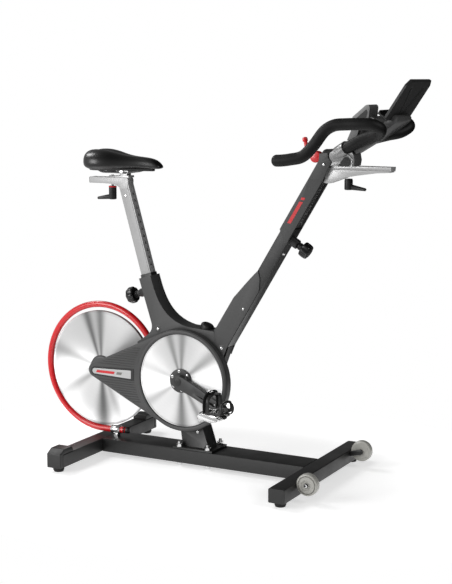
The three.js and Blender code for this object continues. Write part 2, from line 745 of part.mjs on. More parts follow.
function saddle() {
  const body = loft([
    [-452, 22, 903, 926], [-446, 44, 893, 935], [-432, 62, 884, 941], [-408, 73, 879, 943],
    [-380, 74, 879, 942], [-352, 64, 885.5, 939], [-325, 48, 886, 934], [-295, 33, 886, 929],
    [-262, 24, 887, 926.5], [-232, 20, 888, 924], [-212, 18, 889, 919], [-200, 13, 892, 911],
  ], 20);
  return cut(body, box(-350, -298, -26, 26, 860, 884.4));
}

function clampLever(x, top, bottom, radius, tip) {
  const hub = bar([x, 0, bottom], [x, 0, top], radius, 24);
  const stem = bar([x, 0, bottom + 9], tip, 6.5, 12, 4);
  const bore = bar([x, 0, bottom + 12], [x, 0, top + 5], 4 + RUN, 16);
  return cut(join(hub, stem), bore);
}

// ---------------------------------------------------------------- handlebar

function barPost() {
  const [x, y] = [BAR_POST[0] / 2, BAR_POST[1] / 2];
  return onMast(box(-x, x, -y, y, BAR_POST_BOTTOM, 226));
}

const LEVER_AXIS = [298, 938];

// Sleeve round the mast's rear and sides, with the head that holds the resistance lever.
function barPostCover() {
  const mastClear = MAST[0] / 2 + RUN;
  const side = [[-21, 34], [-21, 262], [17.5, 262], [17.5, 12], [8, 12]];
  const sleeve = onMast(slab(side, -28.5, 28.5));
  const inner = onMast(box(-mastClear, 40, -MAST[1] / 2 - RUN, MAST[1] / 2 + RUN, -20, 244));
  const [x, z] = LEVER_AXIS;
  const drum = bar([x, -13.5, z], [x, 13.5, z], 18, 32);
  const mouth = box(260, x + 16, -13.5, 13.5, z - 14, 970);
  const post = onMast(box(-BAR_POST[0] / 2 - GAP, 60, -BAR_POST[1] / 2 - GAP, BAR_POST[1] / 2 + GAP, 0, 226.5));
  return cut(join(sleeve, sleeveHead(0)), inner, drum, mouth, post, barRailBlank(GAP));
}

function sleeveHead(grow) {
  const right = [[343, 951], [345, 937], [354, 926], [349, 917], [327, 872]].map(([x, z]) => [x + grow, z]);
  return slab([[288, 880], [317, 926], [318, 948.5], ...right], -30 - grow, 30 + grow);
}

function barRailBlank(grow) {
  const shape = [
    [341 - grow, BAR_RAIL_TOP - 6 + grow], [520 + grow, BAR_RAIL_TOP - 6 + grow],
    [520 + grow, 901 - grow], [483, 899 - grow], [414, 889 - grow], [390, 884 - grow],
    [342, 866.5 - grow], [327 - grow, 868 - grow], [331 - grow, 885],
  ];
  const [low, high] = [904 - grow, BAR_RAIL_TOP + grow];
  const top = slab([[341 - grow, low], [341 - grow, high], [524 + grow, high], [524 + grow, low]],
    -18 - grow, 18 + grow);
  return join(slab(shape, -18 - grow, 18 + grow), top);
}

// Level rail with side grooves; its triangular root is fixed to the post.
function barRail() {
  const grooves = [box(356, 530, -25, -15, 905.5, 908), box(356, 530, 15, 25, 905.5, 908)];
  const slot = box(366, 508, -5, 5, 850, 950);
  const x = BAR_POST[0] / 2 + GAP;
  const post = onMast(box(-40, x + 2.4, -40, 40, -50, 226 + GAP));
  return cut(barRailBlank(0), ...grooves, slot, post);
}

// Half of the handlebar's centreline, from the grip's end to the clamp: x, distance from the midplane, z.
const HANDLEBAR_SIDES = 8;
const HANDLEBAR_STEPS = 64;
const HANDLEBAR_SIDE = [
  [241, 167, 935], [264, 167, 935], [294, 165, 938.8], [327, 160, 947], [355, 153, 975],
  [386, 147, 1016], [410, 142, 1030], [439, 138, 1033], [480, 134, 1034], [508, 126, 1033],
  [526, 109, 1022], [512, 84, 1007], [482, 58, 999], [448, 39, 989], [417, 28, 975], [389, 21, 961],
];

function handlebarPath() {
  const right = HANDLEBAR_SIDE.map(([x, y, z]) => [x, -y, z]);
  const left = HANDLEBAR_SIDE.map((p) => [...p]).reverse();
  return [...right, [371, -12, 950.5], [366, 0, 948], [371, 12, 950.5], ...left];
}

function barClampBlank(grow) {
  const body = slab([
    [347 - grow, 910], [347 - grow, 950], [374, 968 + grow], [398 + grow, 968 + grow],
    [418 + grow, 948 + grow], [421 + grow, 931], [417 + grow, 910],
  ], -27 - grow, 27 + grow);
  const barrel = (side) => bar([367, side * 8, 949], [398, side * 23.5, 965.5], 20.5 + grow, 20);
  return join(body, barrel(-1), barrel(1));
}

// Split clamp that carries the handlebar and slides on the rail.
function barClamp() {
  const seat = tube(handlebarPath(), GRIP_RADIUS + GAP + 0.2, HANDLEBAR_SIDES, HANDLEBAR_STEPS);
  const stud = bar([394, 0, 886], [394, 0, 919], 4, 12);
  const floor = box(300, 460, -60, 60, 880, BAR_RAIL_TOP + GAP);
  return join(cut(barClampBlank(0), floor, seat, sleeveHead(GAP)), stud);
}

function consoleBase() {
  const arm = slab([[402, 969], [421.5, 949], [480, 984], [480, 1004], [440, 986], [404, 984]], -16, 16);
  const shell = new THREE.Shape();
  shell.moveTo(474, 982);
  shell.lineTo(540, 1030);
  shell.bezierCurveTo(556, 1040, 556, 1052, 542, 1056);
  shell.lineTo(512, 1034);
  shell.lineTo(474, 1004);
  const passage = tube(handlebarPath(), GRIP_RADIUS + 2, HANDLEBAR_SIDES, HANDLEBAR_STEPS);
  const body = join(arm, slab(shell, -54, 54, 8));
  return cut(body, passage, barClampBlank(GAP), tabletTrayBlank(GAP), trayShelf(GAP));
}

function display() {
  const shape = new THREE.Shape();
  shape.moveTo(414, 1038);
  shape.lineTo(416, 1050);
  shape.lineTo(452, 1080);
  shape.bezierCurveTo(458, 1085, 465, 1082, 465, 1073);
  shape.lineTo(462, 1046);
  shape.lineTo(455, 1038);
  const stem = slab([[391, 985.2], [415, 985.2], [436, 1042], [416, 1042]], -10, 10);
  return join(slab(shape, -32, 32, 6), stem);
}

// The tray leans forward over the base; its face looks up at the rider.
function tabletTrayBlank(grow) {
  const lean = 33.5;
  const plate = new THREE.Shape();
  const [half, height, notch] = [90 + grow, 124 + grow, 16];
  plate.moveTo(-half + 6, -grow);
  plate.lineTo(half - 6, -grow);
  plate.lineTo(half, 6 - grow);
  plate.lineTo(half, height - notch);
  plate.lineTo(half - notch, height);
  plate.lineTo(-half + notch, height);
  plate.lineTo(-half, height - notch);
  plate.lineTo(-half, 6 - grow);
  const sheet = new THREE.ExtrudeGeometry(plate, { depth: 7 + 2 * grow, bevelEnabled: false });
  sheet.translate(0, 0, -grow).rotateX(Math.PI / 2).rotateZ(Math.PI / 2);
  return sheet.rotateY(lean * degrees).translate(526, 0, 1046);
}

function trayShelf(grow) {
  const lip = box(-26 - grow, 2, -76 - grow, 76 + grow, -grow, 5 + grow);
  const edge = box(-26 - grow, -22 + grow, -76 - grow, 76 + grow, -grow, 12 + grow);
  return join(lip, edge).rotateY(33.5 * degrees).translate(526, 0, 1046);
}

function tabletTray() {
  return join(tabletTrayBlank(0), trayShelf(0));
}

function resistanceLever() {
  const [x, z] = LEVER_AXIS;
  const drum = bar([x, -12.5, z], [x, 12.5, z], 16, 32);
  const stem = bar([x - 8, 0, z], [267, 0, 957], 8, 16, 6.5);
  const arm = bar([268.6, 0, 951], [261.6, 0, 985], 6.5, 16, 5);
  const tip = bar([262.8, 0, 979], [260.6, 0, 991], 7.5, 16, 6.5);
  return join(drum, stem, arm, tip);
}

// ---------------------------------------------------------------- assembly

add('base_spine', baseSpine(), blackSteel);
add('rear_crossbar', crossbar(REAR_BAR_X, CAP_THICKNESS + GAP), blackSteel);
add('front_crossbar', crossbar(FRONT_BAR_X, 0), blackSteel);
addPair('rear_end_cap', rearEndCap(), blackPlastic);
for (const [end, x] of [['rear', REAR_BAR_X], ['front', FRONT_BAR_X]]) {
  addPair(`${end}_foot`, foot(x, -FOOT_Y), rubber);
}
addPair('wheel_bracket', wheelBracket(), blackSteel);
addPair('transport_wheel', transportWheel(), wheelPlastic);
for (const [end, x] of [['rear', BOLT_X[0]], ['front', BOLT_X[1]]]) {
  addPair(`${end}_base_bolt`, baseBolt(x, -BOLT_Y), chrome);
}

add('pedestal', pedestal(), blackSteel);
add('frame_web', frameWeb(), blackSteel);
add('seat_tube', seatTube(), blackSteel);
add('mast_tube', mastTube(), blackSteel);
add('seat_tube_cover', seatTubeCover(), greyPlastic);
add('mast_cover', mastCover(), greyPlastic);
add('frame_plug', framePlug(), rubber);
add('belt_cover_right', beltCoverRight(), greyPlastic);
add('belt_cover_left', beltCoverLeft(), greyPlastic);
add('flywheel_arm_right', flywheelArm(), blackSteel);
add('flywheel_arm_left', mirrored(flywheelArm()), blackSteel);
add('flywheel_axle', flywheelAxle(), chrome);
add('flywheel_guard', tube(guardPath(), GUARD_TUBE_RADIUS, 10, 48), redTube);
add('guard_clamp', guardClamp(), chrome);
add('drive_belt', driveBelt(), rubber);

add('crank_axle', crankAxle(), blackSteel);
add('front_disc', frontDisc(), aluminium);
add('drive_pulley', drivePulley(), aluminium);
add('crank_arm_right', crankArm(CRANK_ANGLE), blackSteel);
add('crank_arm_left', mirrored(crankArm(CRANK_ANGLE + 180)), blackSteel);
add('flywheel', flywheelDisc(), aluminium);
add('flywheel_hub', flywheelHub(), aluminium);
add('magnet_carrier', magnetCarrier(), blackSteel);

const [pedalX, pedalZ] = pedalPlace();
const oppositeX = 2 * CRANK_AXIS[0] - pedalX;
const oppositeZ = 2 * CRANK_AXIS[1] - pedalZ;
add('pedal_right', pedal().translate(pedalX, 0, pedalZ), chrome);
add('toe_cage_right', toeCage().translate(pedalX, 0, pedalZ), blackPlastic);
add('pedal_left', mirrored(pedal()).translate(oppositeX, 0, oppositeZ), chrome);
add('toe_cage_left', mirrored(toeCage()).translate(oppositeX, 0, oppositeZ), blackPlastic);

add('seat_post', seatPost(), aluminium);
add('seat_slider', seatSlider(), blackSteel);
add('saddle', saddle(), gloss);
add('seat_knob', seatKnob(), blackPlastic);
add('seat_lever', clampLever(-370, RAIL_Z[0] - 7.5, 800.5, 11.5, [-424, 0, 797]), blackPlastic);

add('bar_post', barPost(), blackSteel);
add('bar_post_cover', barPostCover(), greyPlastic);
add('bar_rail', barRail(), aluminium);
add('bar_knob', barKnob(), blackPlastic);
add('bar_lever', clampLever(394, 880.5, 861, 11.8, [446, 0, 853.5]), blackPlastic);
add('bar_clamp', barClamp(), aluminium);
add('handlebar', tube(handlebarPath(), GRIP_RADIUS, HANDLEBAR_SIDES, HANDLEBAR_STEPS), foam);
add('console_base', consoleBase(), greyPlastic);
add('display', display(), blackPlastic);
add('tablet_tray', tabletTray(), blackPlastic);
add('resistance_lever', resistanceLever(), redTube);

export default bike;
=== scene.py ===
import json
import math

import bmesh
import bpy
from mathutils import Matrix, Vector

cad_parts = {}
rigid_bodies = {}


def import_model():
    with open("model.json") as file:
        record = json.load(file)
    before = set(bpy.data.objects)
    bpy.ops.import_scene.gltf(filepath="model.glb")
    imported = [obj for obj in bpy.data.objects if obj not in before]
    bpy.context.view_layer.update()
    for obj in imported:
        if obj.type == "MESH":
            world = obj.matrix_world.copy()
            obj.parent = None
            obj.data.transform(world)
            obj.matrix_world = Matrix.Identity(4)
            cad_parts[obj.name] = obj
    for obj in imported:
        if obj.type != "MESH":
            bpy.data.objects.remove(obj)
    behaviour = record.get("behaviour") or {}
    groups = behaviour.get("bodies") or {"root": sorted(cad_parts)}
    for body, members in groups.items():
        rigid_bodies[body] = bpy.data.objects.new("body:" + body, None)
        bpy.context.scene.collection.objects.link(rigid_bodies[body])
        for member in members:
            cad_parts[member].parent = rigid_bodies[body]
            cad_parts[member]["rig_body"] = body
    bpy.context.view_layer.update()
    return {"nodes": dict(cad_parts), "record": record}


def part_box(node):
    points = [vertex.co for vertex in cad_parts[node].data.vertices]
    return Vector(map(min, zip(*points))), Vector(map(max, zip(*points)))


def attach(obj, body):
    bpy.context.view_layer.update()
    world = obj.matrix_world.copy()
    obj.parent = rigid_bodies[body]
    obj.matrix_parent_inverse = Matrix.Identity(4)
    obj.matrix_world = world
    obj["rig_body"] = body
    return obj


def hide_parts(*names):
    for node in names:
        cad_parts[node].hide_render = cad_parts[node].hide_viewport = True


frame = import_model()
NODES = frame["nodes"]

# The layout is in millimetres; V() moves it into the row frame.
SHIFT_X = 8.0
FLOOR = 8.5
MM = 0.001


def V(x, y, z):
    return Vector(((x + SHIFT_X) * MM, y * MM, (z - FLOOR) * MM))


def grey(value):
    return srgb(value, value, value)


def srgb(r, g, b):
    def linear(v):
        v /= 255
        return v / 12.92 if v <= 0.04045 else ((v + 0.055) / 1.055) ** 2.4
    return (linear(r), linear(g), linear(b), 1)


# ---------------------------------------------------------------- materials

def new_node(tree, kind, **values):
    made = tree.nodes.new(kind)
    for key, value in values.items():
        setattr(made, key, value)
    return made


def set_range(node, source, target):
    """Sets a Map Range node's limits: source and target are (low, high)."""
    for key, value in zip(("From Min", "From Max", "To Min", "To Max"), source + target):
        node.inputs[key].default_value = value


class Shader:
    """A material with short calls for its nodes."""

    def __init__(self, name, color, rough, metal=0.0, **sockets):
        self.mat = bpy.data.materials.new(name)
        self.mat.use_nodes = True
        self.mat.diffuse_color = color
        self.tree = self.mat.node_tree
        self.bsdf = self.tree.nodes["Principled BSDF"]
        self.color = color
        self.rough = rough
        self.bsdf.inputs["Base Color"].default_value = color
        self.bsdf.inputs["Roughness"].default_value = rough
        self.bsdf.inputs["Metallic"].default_value = metal
        for key, value in sockets.items():
            self.bsdf.inputs[key.replace("_", " ")].default_value = value
        self.normal = None
        self.coord = self.node("ShaderNodeTexCoord").outputs["Object"]

    def node(self, kind, **values):
        return new_node(self.tree, kind, **values)

    def link(self, a, b):
        self.tree.links.new(a, b)

    def math(self, operation, a, b=None):
        made = self.node("ShaderNodeMath", operation=operation)
        for socket, value in zip(made.inputs, (a, b)):
            if value is None:
                continue
            if hasattr(value, "links"):
                self.link(value, socket)
            else:
                socket.default_value = value
        return made.outputs[0]

    def noise(self, scale, detail=3.0, stretch=None, rough=0.5):
        made = self.node("ShaderNodeTexNoise")
        made.inputs["Scale"].default_value = scale
        made.inputs["Detail"].default_value = detail
        made.inputs["Roughness"].default_value = rough
        source = self.coord
        if stretch:
            mapping = self.node("ShaderNodeMapping")
            mapping.inputs["Scale"].default_value = stretch
            self.link(source, mapping.inputs["Vector"])
            source = mapping.outputs[0]
        self.link(source, made.inputs["Vector"])
        return made.outputs["Fac"]

    def spread(self, fac, low, high):
        """Stretches the middle of a noise over low to high."""
        made = self.node("ShaderNodeMapRange")
        self.link(fac, made.inputs["Value"])
        set_range(made, (0.3, 0.7), (low, high))
        return made.outputs[0]

    def tint(self, fac, a, b):
        made = self.node("ShaderNodeMix", data_type="RGBA")
        self.link(fac, made.inputs["Factor"])
        made.inputs["A"].default_value = a
        made.inputs["B"].default_value = b
        self.link(made.outputs["Result"], self.bsdf.inputs["Base Color"])

    def vary(self, fac, amount=0.08, rough=0.06):
        """Small changes of tone and roughness over the surface."""
        dark = tuple(c * (1 - amount) for c in self.color[:3]) + (1,)
        light = tuple(min(1, c * (1 + amount)) for c in self.color[:3]) + (1,)
        self.tint(fac, dark, light)
        self.link(self.spread(fac, self.rough - rough, self.rough + rough), self.bsdf.inputs["Roughness"])

    def bump(self, height, distance, strength=1.0):
        made = self.node("ShaderNodeBump")
        made.inputs["Strength"].default_value = strength
        made.inputs["Distance"].default_value = distance
        self.link(height, made.inputs["Height"])
        if self.normal is not None:
            self.link(self.normal, made.inputs["Normal"])
        self.normal = made.outputs[0]
        self.link(self.normal, self.bsdf.inputs["Normal"])


def moulded(name, color, rough, grain=900, depth=0.00012, **sockets):
    """Moulded plastic with a fine spark-eroded grain."""
    s = Shader(name, color, rough, **sockets)
    s.vary(s.noise(9, 4), 0.06, 0.05)
    s.bump(s.noise(grain, 2), depth, 0.6)
    return s.mat


def powder_coat(name, color, rough, **sockets):
    """Painted steel with faint orange peel and rubbed, greyer patches."""
    s = Shader(name, color, rough, **sockets)
    s.vary(s.noise(14, 5, rough=0.6), 0.10, 0.07)
    s.bump(s.noise(420, 2), 0.00018, 0.45)
    s.bump(s.noise(30, 2), 0.0003, 0.2)
    return s.mat


def brushed(name, color, rough, stretch, metal=1.0, depth=0.00006, **sockets):
    """Metal with straight brush lines along the axis whose stretch is small."""
    s = Shader(name, color, rough, metal, **sockets)
    lines = s.noise(40, 4, stretch)
    s.vary(lines, 0.07, 0.07)
    s.bump(lines, depth, 0.5)
    return s.mat


def spun_with_painted_reflections(name, centre, low, high, rough, lobes):
    """Steel faced on a lathe: rings of fine tool marks, and painted reflections: dark sectors painted into
    the colour between broad bright ones.
    Each lobe is one painted dark sector, given as (direction in degrees, sharpness, strength) about the
    crosswise axis through centre; low and high are the colours of the painted dark and bright sectors."""
    s = Shader(name, high, rough, 0.75, Anisotropic=0.8)
    split = s.node("ShaderNodeSeparateXYZ")
    s.link(s.coord, split.inputs[0])
    dx = s.math("SUBTRACT", split.outputs["X"], centre[0])
    dz = s.math("SUBTRACT", split.outputs["Z"], centre[2])
    angle = s.math("ARCTAN2", dz, dx)
    painted_sector_shade = None
    for direction, sharpness, strength in lobes:
        wave = s.math("COSINE", s.math("SUBTRACT", angle, math.radians(direction)))
        wave = s.math("POWER", s.math("MAXIMUM", wave, 0.0), float(sharpness))
        wave = s.math("MULTIPLY", wave, strength)
        painted_sector_shade = wave if painted_sector_shade is None else s.math("ADD", painted_sector_shade, wave)
    reach = s.math("SQRT", s.math("ADD", s.math("MULTIPLY", dx, dx), s.math("MULTIPLY", dz, dz)))
    rings = s.node("ShaderNodeTexNoise", noise_dimensions="1D")
    rings.inputs["Scale"].default_value = 900
    rings.inputs["Detail"].default_value = 3
    s.link(reach, rings.inputs["W"])
    # Painted reflection: the dark sectors darken the base colour, and the ring tool marks add their own small
    # tone changes.
    dark = s.math("ADD", painted_sector_shade, s.spread(rings.outputs["Fac"], -0.06, 0.06))
    s.tint(s.math("MINIMUM", s.math("MAXIMUM", dark, 0.0), 1.0), high, low)
    s.link(s.spread(rings.outputs["Fac"], rough - 0.06, rough + 0.06), s.bsdf.inputs["Roughness"])
    s.bump(rings.outputs["Fac"], 0.00005, 0.35)
    tangent = s.node("ShaderNodeTangent", direction_type="RADIAL", axis="Y")
    s.link(tangent.outputs[0], s.bsdf.inputs["Tangent"])
    return s.mat


def leather(name, color, rough, **sockets):
    """Smooth skin over foam with a fine pebble grain."""
    s = Shader(name, color, rough, **sockets)
    s.vary(s.noise(12, 4), 0.12, 0.04)
    cells = s.node("ShaderNodeTexVoronoi", feature="SMOOTH_F1")
    cells.inputs["Scale"].default_value = 700
    s.link(s.coord, cells.inputs["Vector"])
    s.bump(cells.outputs["Distance"], 0.00012, 0.3)
    return s.mat


def clear_grey(name):
    """Hard, slightly cloudy wheel plastic."""
    s = Shader(name, srgb(172, 171, 165), 0.38, Coat_Weight=0.3, Subsurface_Weight=0.15)
    s.bsdf.inputs["Subsurface Radius"].default_value = (0.004, 0.004, 0.004)
    s.vary(s.noise(60, 4), 0.08, 0.06)
    s.bump(s.noise(500, 2), 0.0001, 0.3)
    return s.mat


M = {
    "grey": moulded("satin_grey_plastic", grey(66), 0.5),
    "deep_grey": moulded("deep_grey_plastic", grey(46), 0.46),
    "dark": moulded("dark_plastic", grey(25), 0.46),
    "black": moulded("black_plastic", grey(16), 0.4),
    "gloss_black": moulded("gloss_black_plastic", grey(14), 0.24, depth=0.00005),
    "steel_black": powder_coat("black_powder_coat", grey(25), 0.42),
    "steel_grey": powder_coat("grey_powder_coat", grey(72), 0.42),
    "red": powder_coat("red_gloss_paint", srgb(212, 14, 24), 0.3, Coat_Weight=0.4, Coat_Roughness=0.12),
    "red_plastic": moulded("red_plastic", srgb(205, 30, 38), 0.4),
    "alu_up": brushed("brushed_aluminium_post", grey(176), 0.42, (14, 14, 0.6), 0.25),
    "alu_along": brushed("brushed_aluminium_rail", grey(196), 0.38, (0.6, 14, 14), 0.4),
    "alu_cast": brushed("cast_aluminium_clamp", grey(140), 0.34, (3, 3, 3), 0.7, 0.00012),
    "chrome": brushed("chromed_steel", grey(215), 0.14, (2, 2, 2), 1.0, 0.00003),
    "rubber": moulded("black_rubber", grey(16), 0.75, 500, 0.0002),
    "foam": moulded("bar_foam", grey(7), 0.55, 650, 0.0002, Specular_IOR_Level=0.3),
    "skin": leather("saddle_skin", grey(6), 0.32, Coat_Weight=0.2, Coat_Roughness=0.2),
    "tray": moulded("tray_plastic", grey(40), 0.42),
    "wheel": clear_grey("wheel_plastic"),
    # Darker wheel plastic: painted shade in the wheel's grooves, and the grey of the badge dash.
    "wheel_groove": moulded("wheel_groove", srgb(118, 117, 112), 0.5),
    "screen": moulded("display_window", srgb(30, 36, 34), 0.12, depth=0.00001, Coat_Weight=0.6),
    "plate": brushed("badge_metal", grey(190), 0.34, (0.5, 12, 12), 0.75),
    "console": moulded("console_gloss_grey", grey(84), 0.3, Coat_Weight=0.5, Coat_Roughness=0.15),
    "silver_grey": moulded("silver_grey_plastic", grey(128), 0.4),
    "mark": moulded("printed_mark", grey(36), 0.5),
    "pale_mark": moulded("pale_printed_mark", grey(150), 0.5),
}


# ---------------------------------------------------------------- mesh tools

def put(name, bm, mat, body, slot, nodes=(), bevel=0.0, rounds=2, angle=32, subdivide=0):
    """Makes an object of a bmesh in the row frame, and ties it to its body."""
    bmesh.ops.recalc_face_normals(bm, faces=bm.faces)
    mesh = bpy.data.meshes.new(name)
    bm.to_mesh(mesh)
    bm.free()
    piece = bpy.data.objects.new(name, mesh)
    bpy.context.scene.collection.objects.link(piece)
    mesh.materials.append(M[mat] if isinstance(mat, str) else mat)
    mesh.shade_smooth()
    if bevel:
        made = piece.modifiers.new("bevel", "BEVEL")
        made.width = bevel * MM
        made.segments = rounds
        made.limit_method = "ANGLE"
        made.angle_limit = math.radians(angle)
        made.harden_normals = True
        made.miter_outer = "MITER_ARC"
    elif not subdivide:
        mesh.set_sharp_from_angle(angle=math.radians(angle))
    if subdivide:
        made = piece.modifiers.new("subdivide", "SUBSURF")
        made.levels = subdivide
        made.render_levels = subdivide
    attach(piece, body)
    if nodes:
        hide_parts(*nodes)
    return piece


def body_of(node):
    return NODES[node]["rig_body"]


SLOTS = {s["node"]: s["material_slot"] for s in frame["record"]["subparts"]}


WELD = 0.00003


def refined(node, mat, bevel=1.2, rounds=2):
    """The CAD solid with its flat faces merged and its edges rounded."""
    bm = bmesh.new()
    bm.from_mesh(NODES[node].data)
    bmesh.ops.remove_doubles(bm, verts=bm.verts, dist=WELD)
    bmesh.ops.dissolve_limit(bm, angle_limit=math.radians(0.6), verts=bm.verts, edges=bm.edges)
    bmesh.ops.dissolve_degenerate(bm, dist=WELD, edges=bm.edges)
    return put(node + "_finish", bm, mat, body_of(node), SLOTS[node], [node], bevel, rounds, 30)


def circle(wide, sides, high=None):
    """Points once round a circle, or round an ellipse when high is given."""
    high = wide if high is None else high
    turns = [2 * math.pi * k / sides for k in range(sides)]
    return [(wide * math.cos(a), high * math.sin(a)) for a in turns]


def join_rings(bm, rings, closed=False):
    """Joins each ring of points to the next with quads, then closes the two ends."""
    for one, two in zip(rings, rings[1:] + (rings[:1] if closed else [])):
        for k in range(len(one)):
            m = (k + 1) % len(one)
            bm.faces.new((one[k], one[m], two[m], two[k]))
    if not closed:
        bm.faces.new(list(reversed(rings[0])))
        bm.faces.new(rings[-1])
    return bm


def lathe_into(bm, profile, centre, segments):
    """Turns (radius, y) points about a crosswise axis through centre = (x, z)."""
    rings = [[bm.verts.new(V(centre[0] + r * c, y, centre[1] + r * s)) for r, y in profile]
             for c, s in circle(1, segments)]
    return join_rings(bm, rings, closed=True)


def lathe(name, profile, centre, mat, body, slot, nodes=(), segments=128, angle=32):
    bm = lathe_into(bmesh.new(), profile, centre, segments)
    bmesh.ops.remove_doubles(bm, verts=bm.verts, dist=1e-6)
    return put(name, bm, mat, body, slot, nodes, angle=angle)


def rod_into(bm, a, b, profile, segments=24, place=None):
    """Turns (distance along a-b, radius) points about the line from a to b, both in millimetres."""
    a, b = Vector(a), Vector(b)
    along = (b - a).normalized()
    side = along.orthogonal().normalized()
    up = along.cross(side)
    rings = [[bm.verts.new((place or V)(*(a + along * t + side * c + up * s))) for c,
              s in circle(r, segments)]
             for t, r in profile]
    return join_rings(bm, rings)


def rod(name, a, b, profile, mat, body, slot, nodes=(), segments=24, angle=32, place=None):
    return put(name, rod_into(bmesh.new(), a, b, profile, segments, place), mat, body, slot, nodes,
               angle=angle)


def smooth_path(points, steps):
    """Points on a centripetal curve through the given ones, in millimetres."""
    pts = [Vector(p) for p in points]
    chain = [2 * pts[0] - pts[1]] + pts + [2 * pts[-1] - pts[-2]]
    out = []
    for i in range(1, len(chain) - 2):
        p0, p1, p2, p3 = chain[i - 1:i + 3]
        t0 = 0.0
        t1 = t0 + max((p1 - p0).length, 1e-6) ** 0.5
        t2 = t1 + max((p2 - p1).length, 1e-6) ** 0.5
        t3 = t2 + max((p3 - p2).length, 1e-6) ** 0.5
        for k in range(steps):
            t = t1 + (t2 - t1) * k / steps
            a1 = p0 * ((t1 - t) / (t1 - t0)) + p1 * ((t - t0) / (t1 - t0))
            a2 = p1 * ((t2 - t) / (t2 - t1)) + p2 * ((t - t1) / (t2 - t1))
            a3 = p2 * ((t3 - t) / (t3 - t2)) + p3 * ((t - t2) / (t3 - t2))
            b1 = a1 * ((t2 - t) / (t2 - t0)) + a2 * ((t - t0) / (t2 - t0))
            b2 = a2 * ((t3 - t) / (t3 - t1)) + a3 * ((t - t1) / (t3 - t1))
            out.append(b1 * ((t2 - t) / (t2 - t1)) + b2 * ((t - t1) / (t2 - t1)))
    return out + [pts[-1]]


def sweep_into(bm, path, section, place=None):
    """Carries a section along a path without twist. section(i, count) gives (side, up) offsets."""
    count = len(path)
    tangents = [(path[min(i + 1, count - 1)] - path[max(i - 1, 0)]).normalized() for i in range(count)]
    side = tangents[0].cross(Vector((0, 1, 0)))
    if side.length < 0.2:
        side = tangents[0].cross(Vector((0, 0, 1)))
    side.normalize()
    rings = []
    for i in range(count):
        side = (side - tangents[i] * side.dot(tangents[i])).normalized()
        up = tangents[i].cross(side)
        rings.append([bm.verts.new((place or V)(*(path[i] + side * s + up * u))) for s,
                      u in section(i, count)])
    return join_rings(bm, rings)


def sweep(name, path, section, mat, body, slot, nodes=(), angle=50):
    return put(name, sweep_into(bmesh.new(), path, section), mat, body, slot, nodes, angle=angle)


def round_section(radius, sides, ends=0.0):
    """A circle that shrinks to a dome over the first and last steps of a path."""
    def section(i, count):
        near = min(i, count - 1 - i)
        scale = 1.0
        if ends and near < ends:
            scale = math.sqrt(max(0.02, 1 - (1 - near / ends) ** 2))
        return circle(radius * scale, sides)
    return section


def slab_into(bm, outline, y0, y1, place=None):
    """A closed outline in x and z, drawn out across the bike from y0 to y1."""
    return join_rings(bm, [[bm.verts.new((place or V)(x, y, z)) for x, z in outline] for y in (y0, y1)])


def slab(name, outline, y0, y1, mat, body, slot, place=None, **finish):
    return put(name, slab_into(bmesh.new(), outline, y0, y1, place), mat, body, slot, **finish)


def tilted(origin, tilt, x, y, z):
    """A point of a tilted frame, as the posts are drawn, in the layout."""
    c, s = math.cos(math.radians(tilt)), math.sin(math.radians(tilt))
    return origin[0] + x * c + z * s, y, origin[1] - x * s + z * c


SEAT_ORIGIN, SEAT_TILT = (-247.6, 578), -16
MAST_ORIGIN, MAST_TILT = (199.5, 694.6), 31


def on_seat(x, y, z):
    return V(*tilted(SEAT_ORIGIN, SEAT_TILT, x, y, z))


def on_mast(x, y, z):
    return V(*tilted(MAST_ORIGIN, MAST_TILT, x, y, z))


# ---------------------------------------------------------------- base

def chrome_bolt(name, at, axis, radius, height, body):
    """A flanged hexagon head standing on a face."""
    a = Vector(at)
    d = Vector(axis).normalized()
    bm = rod_into(bmesh.new(), a, a + d, [(0, radius * 1.45), (height * 0.22, radius * 1.45),
                                          (height * 0.34, radius * 0.98)], 28)
    rod_into(bm, a + d * height * 0.3, a + d * height,
             [(0, radius), (height * 0.5, radius), (height * 0.7, radius * 0.86)], 6)
    return put(name, bm, "chrome", body, "chrome_steel", angle=28)


def socket_screw(name, at, radius, body, axis=(0, -1, 0), height=2.2):
    """A domed screw head with a hexagon socket."""
    a = Vector(at)
    d = Vector(axis).normalized()
    side = d.orthogonal().normalized()
    up = d.cross(side)
    bm = bmesh.new()
    rings = []
    steps = [(radius, 0), (radius, height * 0.45), (radius * 0.86, height * 0.85), (radius * 0.55, height),
             (radius * 0.42, height), (radius * 0.40, height * 0.2)]
    for i, (r, t) in enumerate(steps):
        ring = []
        for k in range(24):
            w = 2 * math.pi * k / 24
            q = r
            if i > 3:
                q = r * math.cos(math.pi / 6) / math.cos((w % (math.pi / 3)) - math.pi / 6)
            ring.append(bm.verts.new(V(*(a + d * t + side * q * math.cos(w) + up * q * math.sin(w)))))
        rings.append(ring)
    return put(name, join_rings(bm, rings), "chrome", body, "chrome_steel", angle=30)


REAR_BAR_X, FRONT_BAR_X, BAR_MIDDLE_Z = -411, 312, 43
TRANSPORT_AXLE = (368, 62)

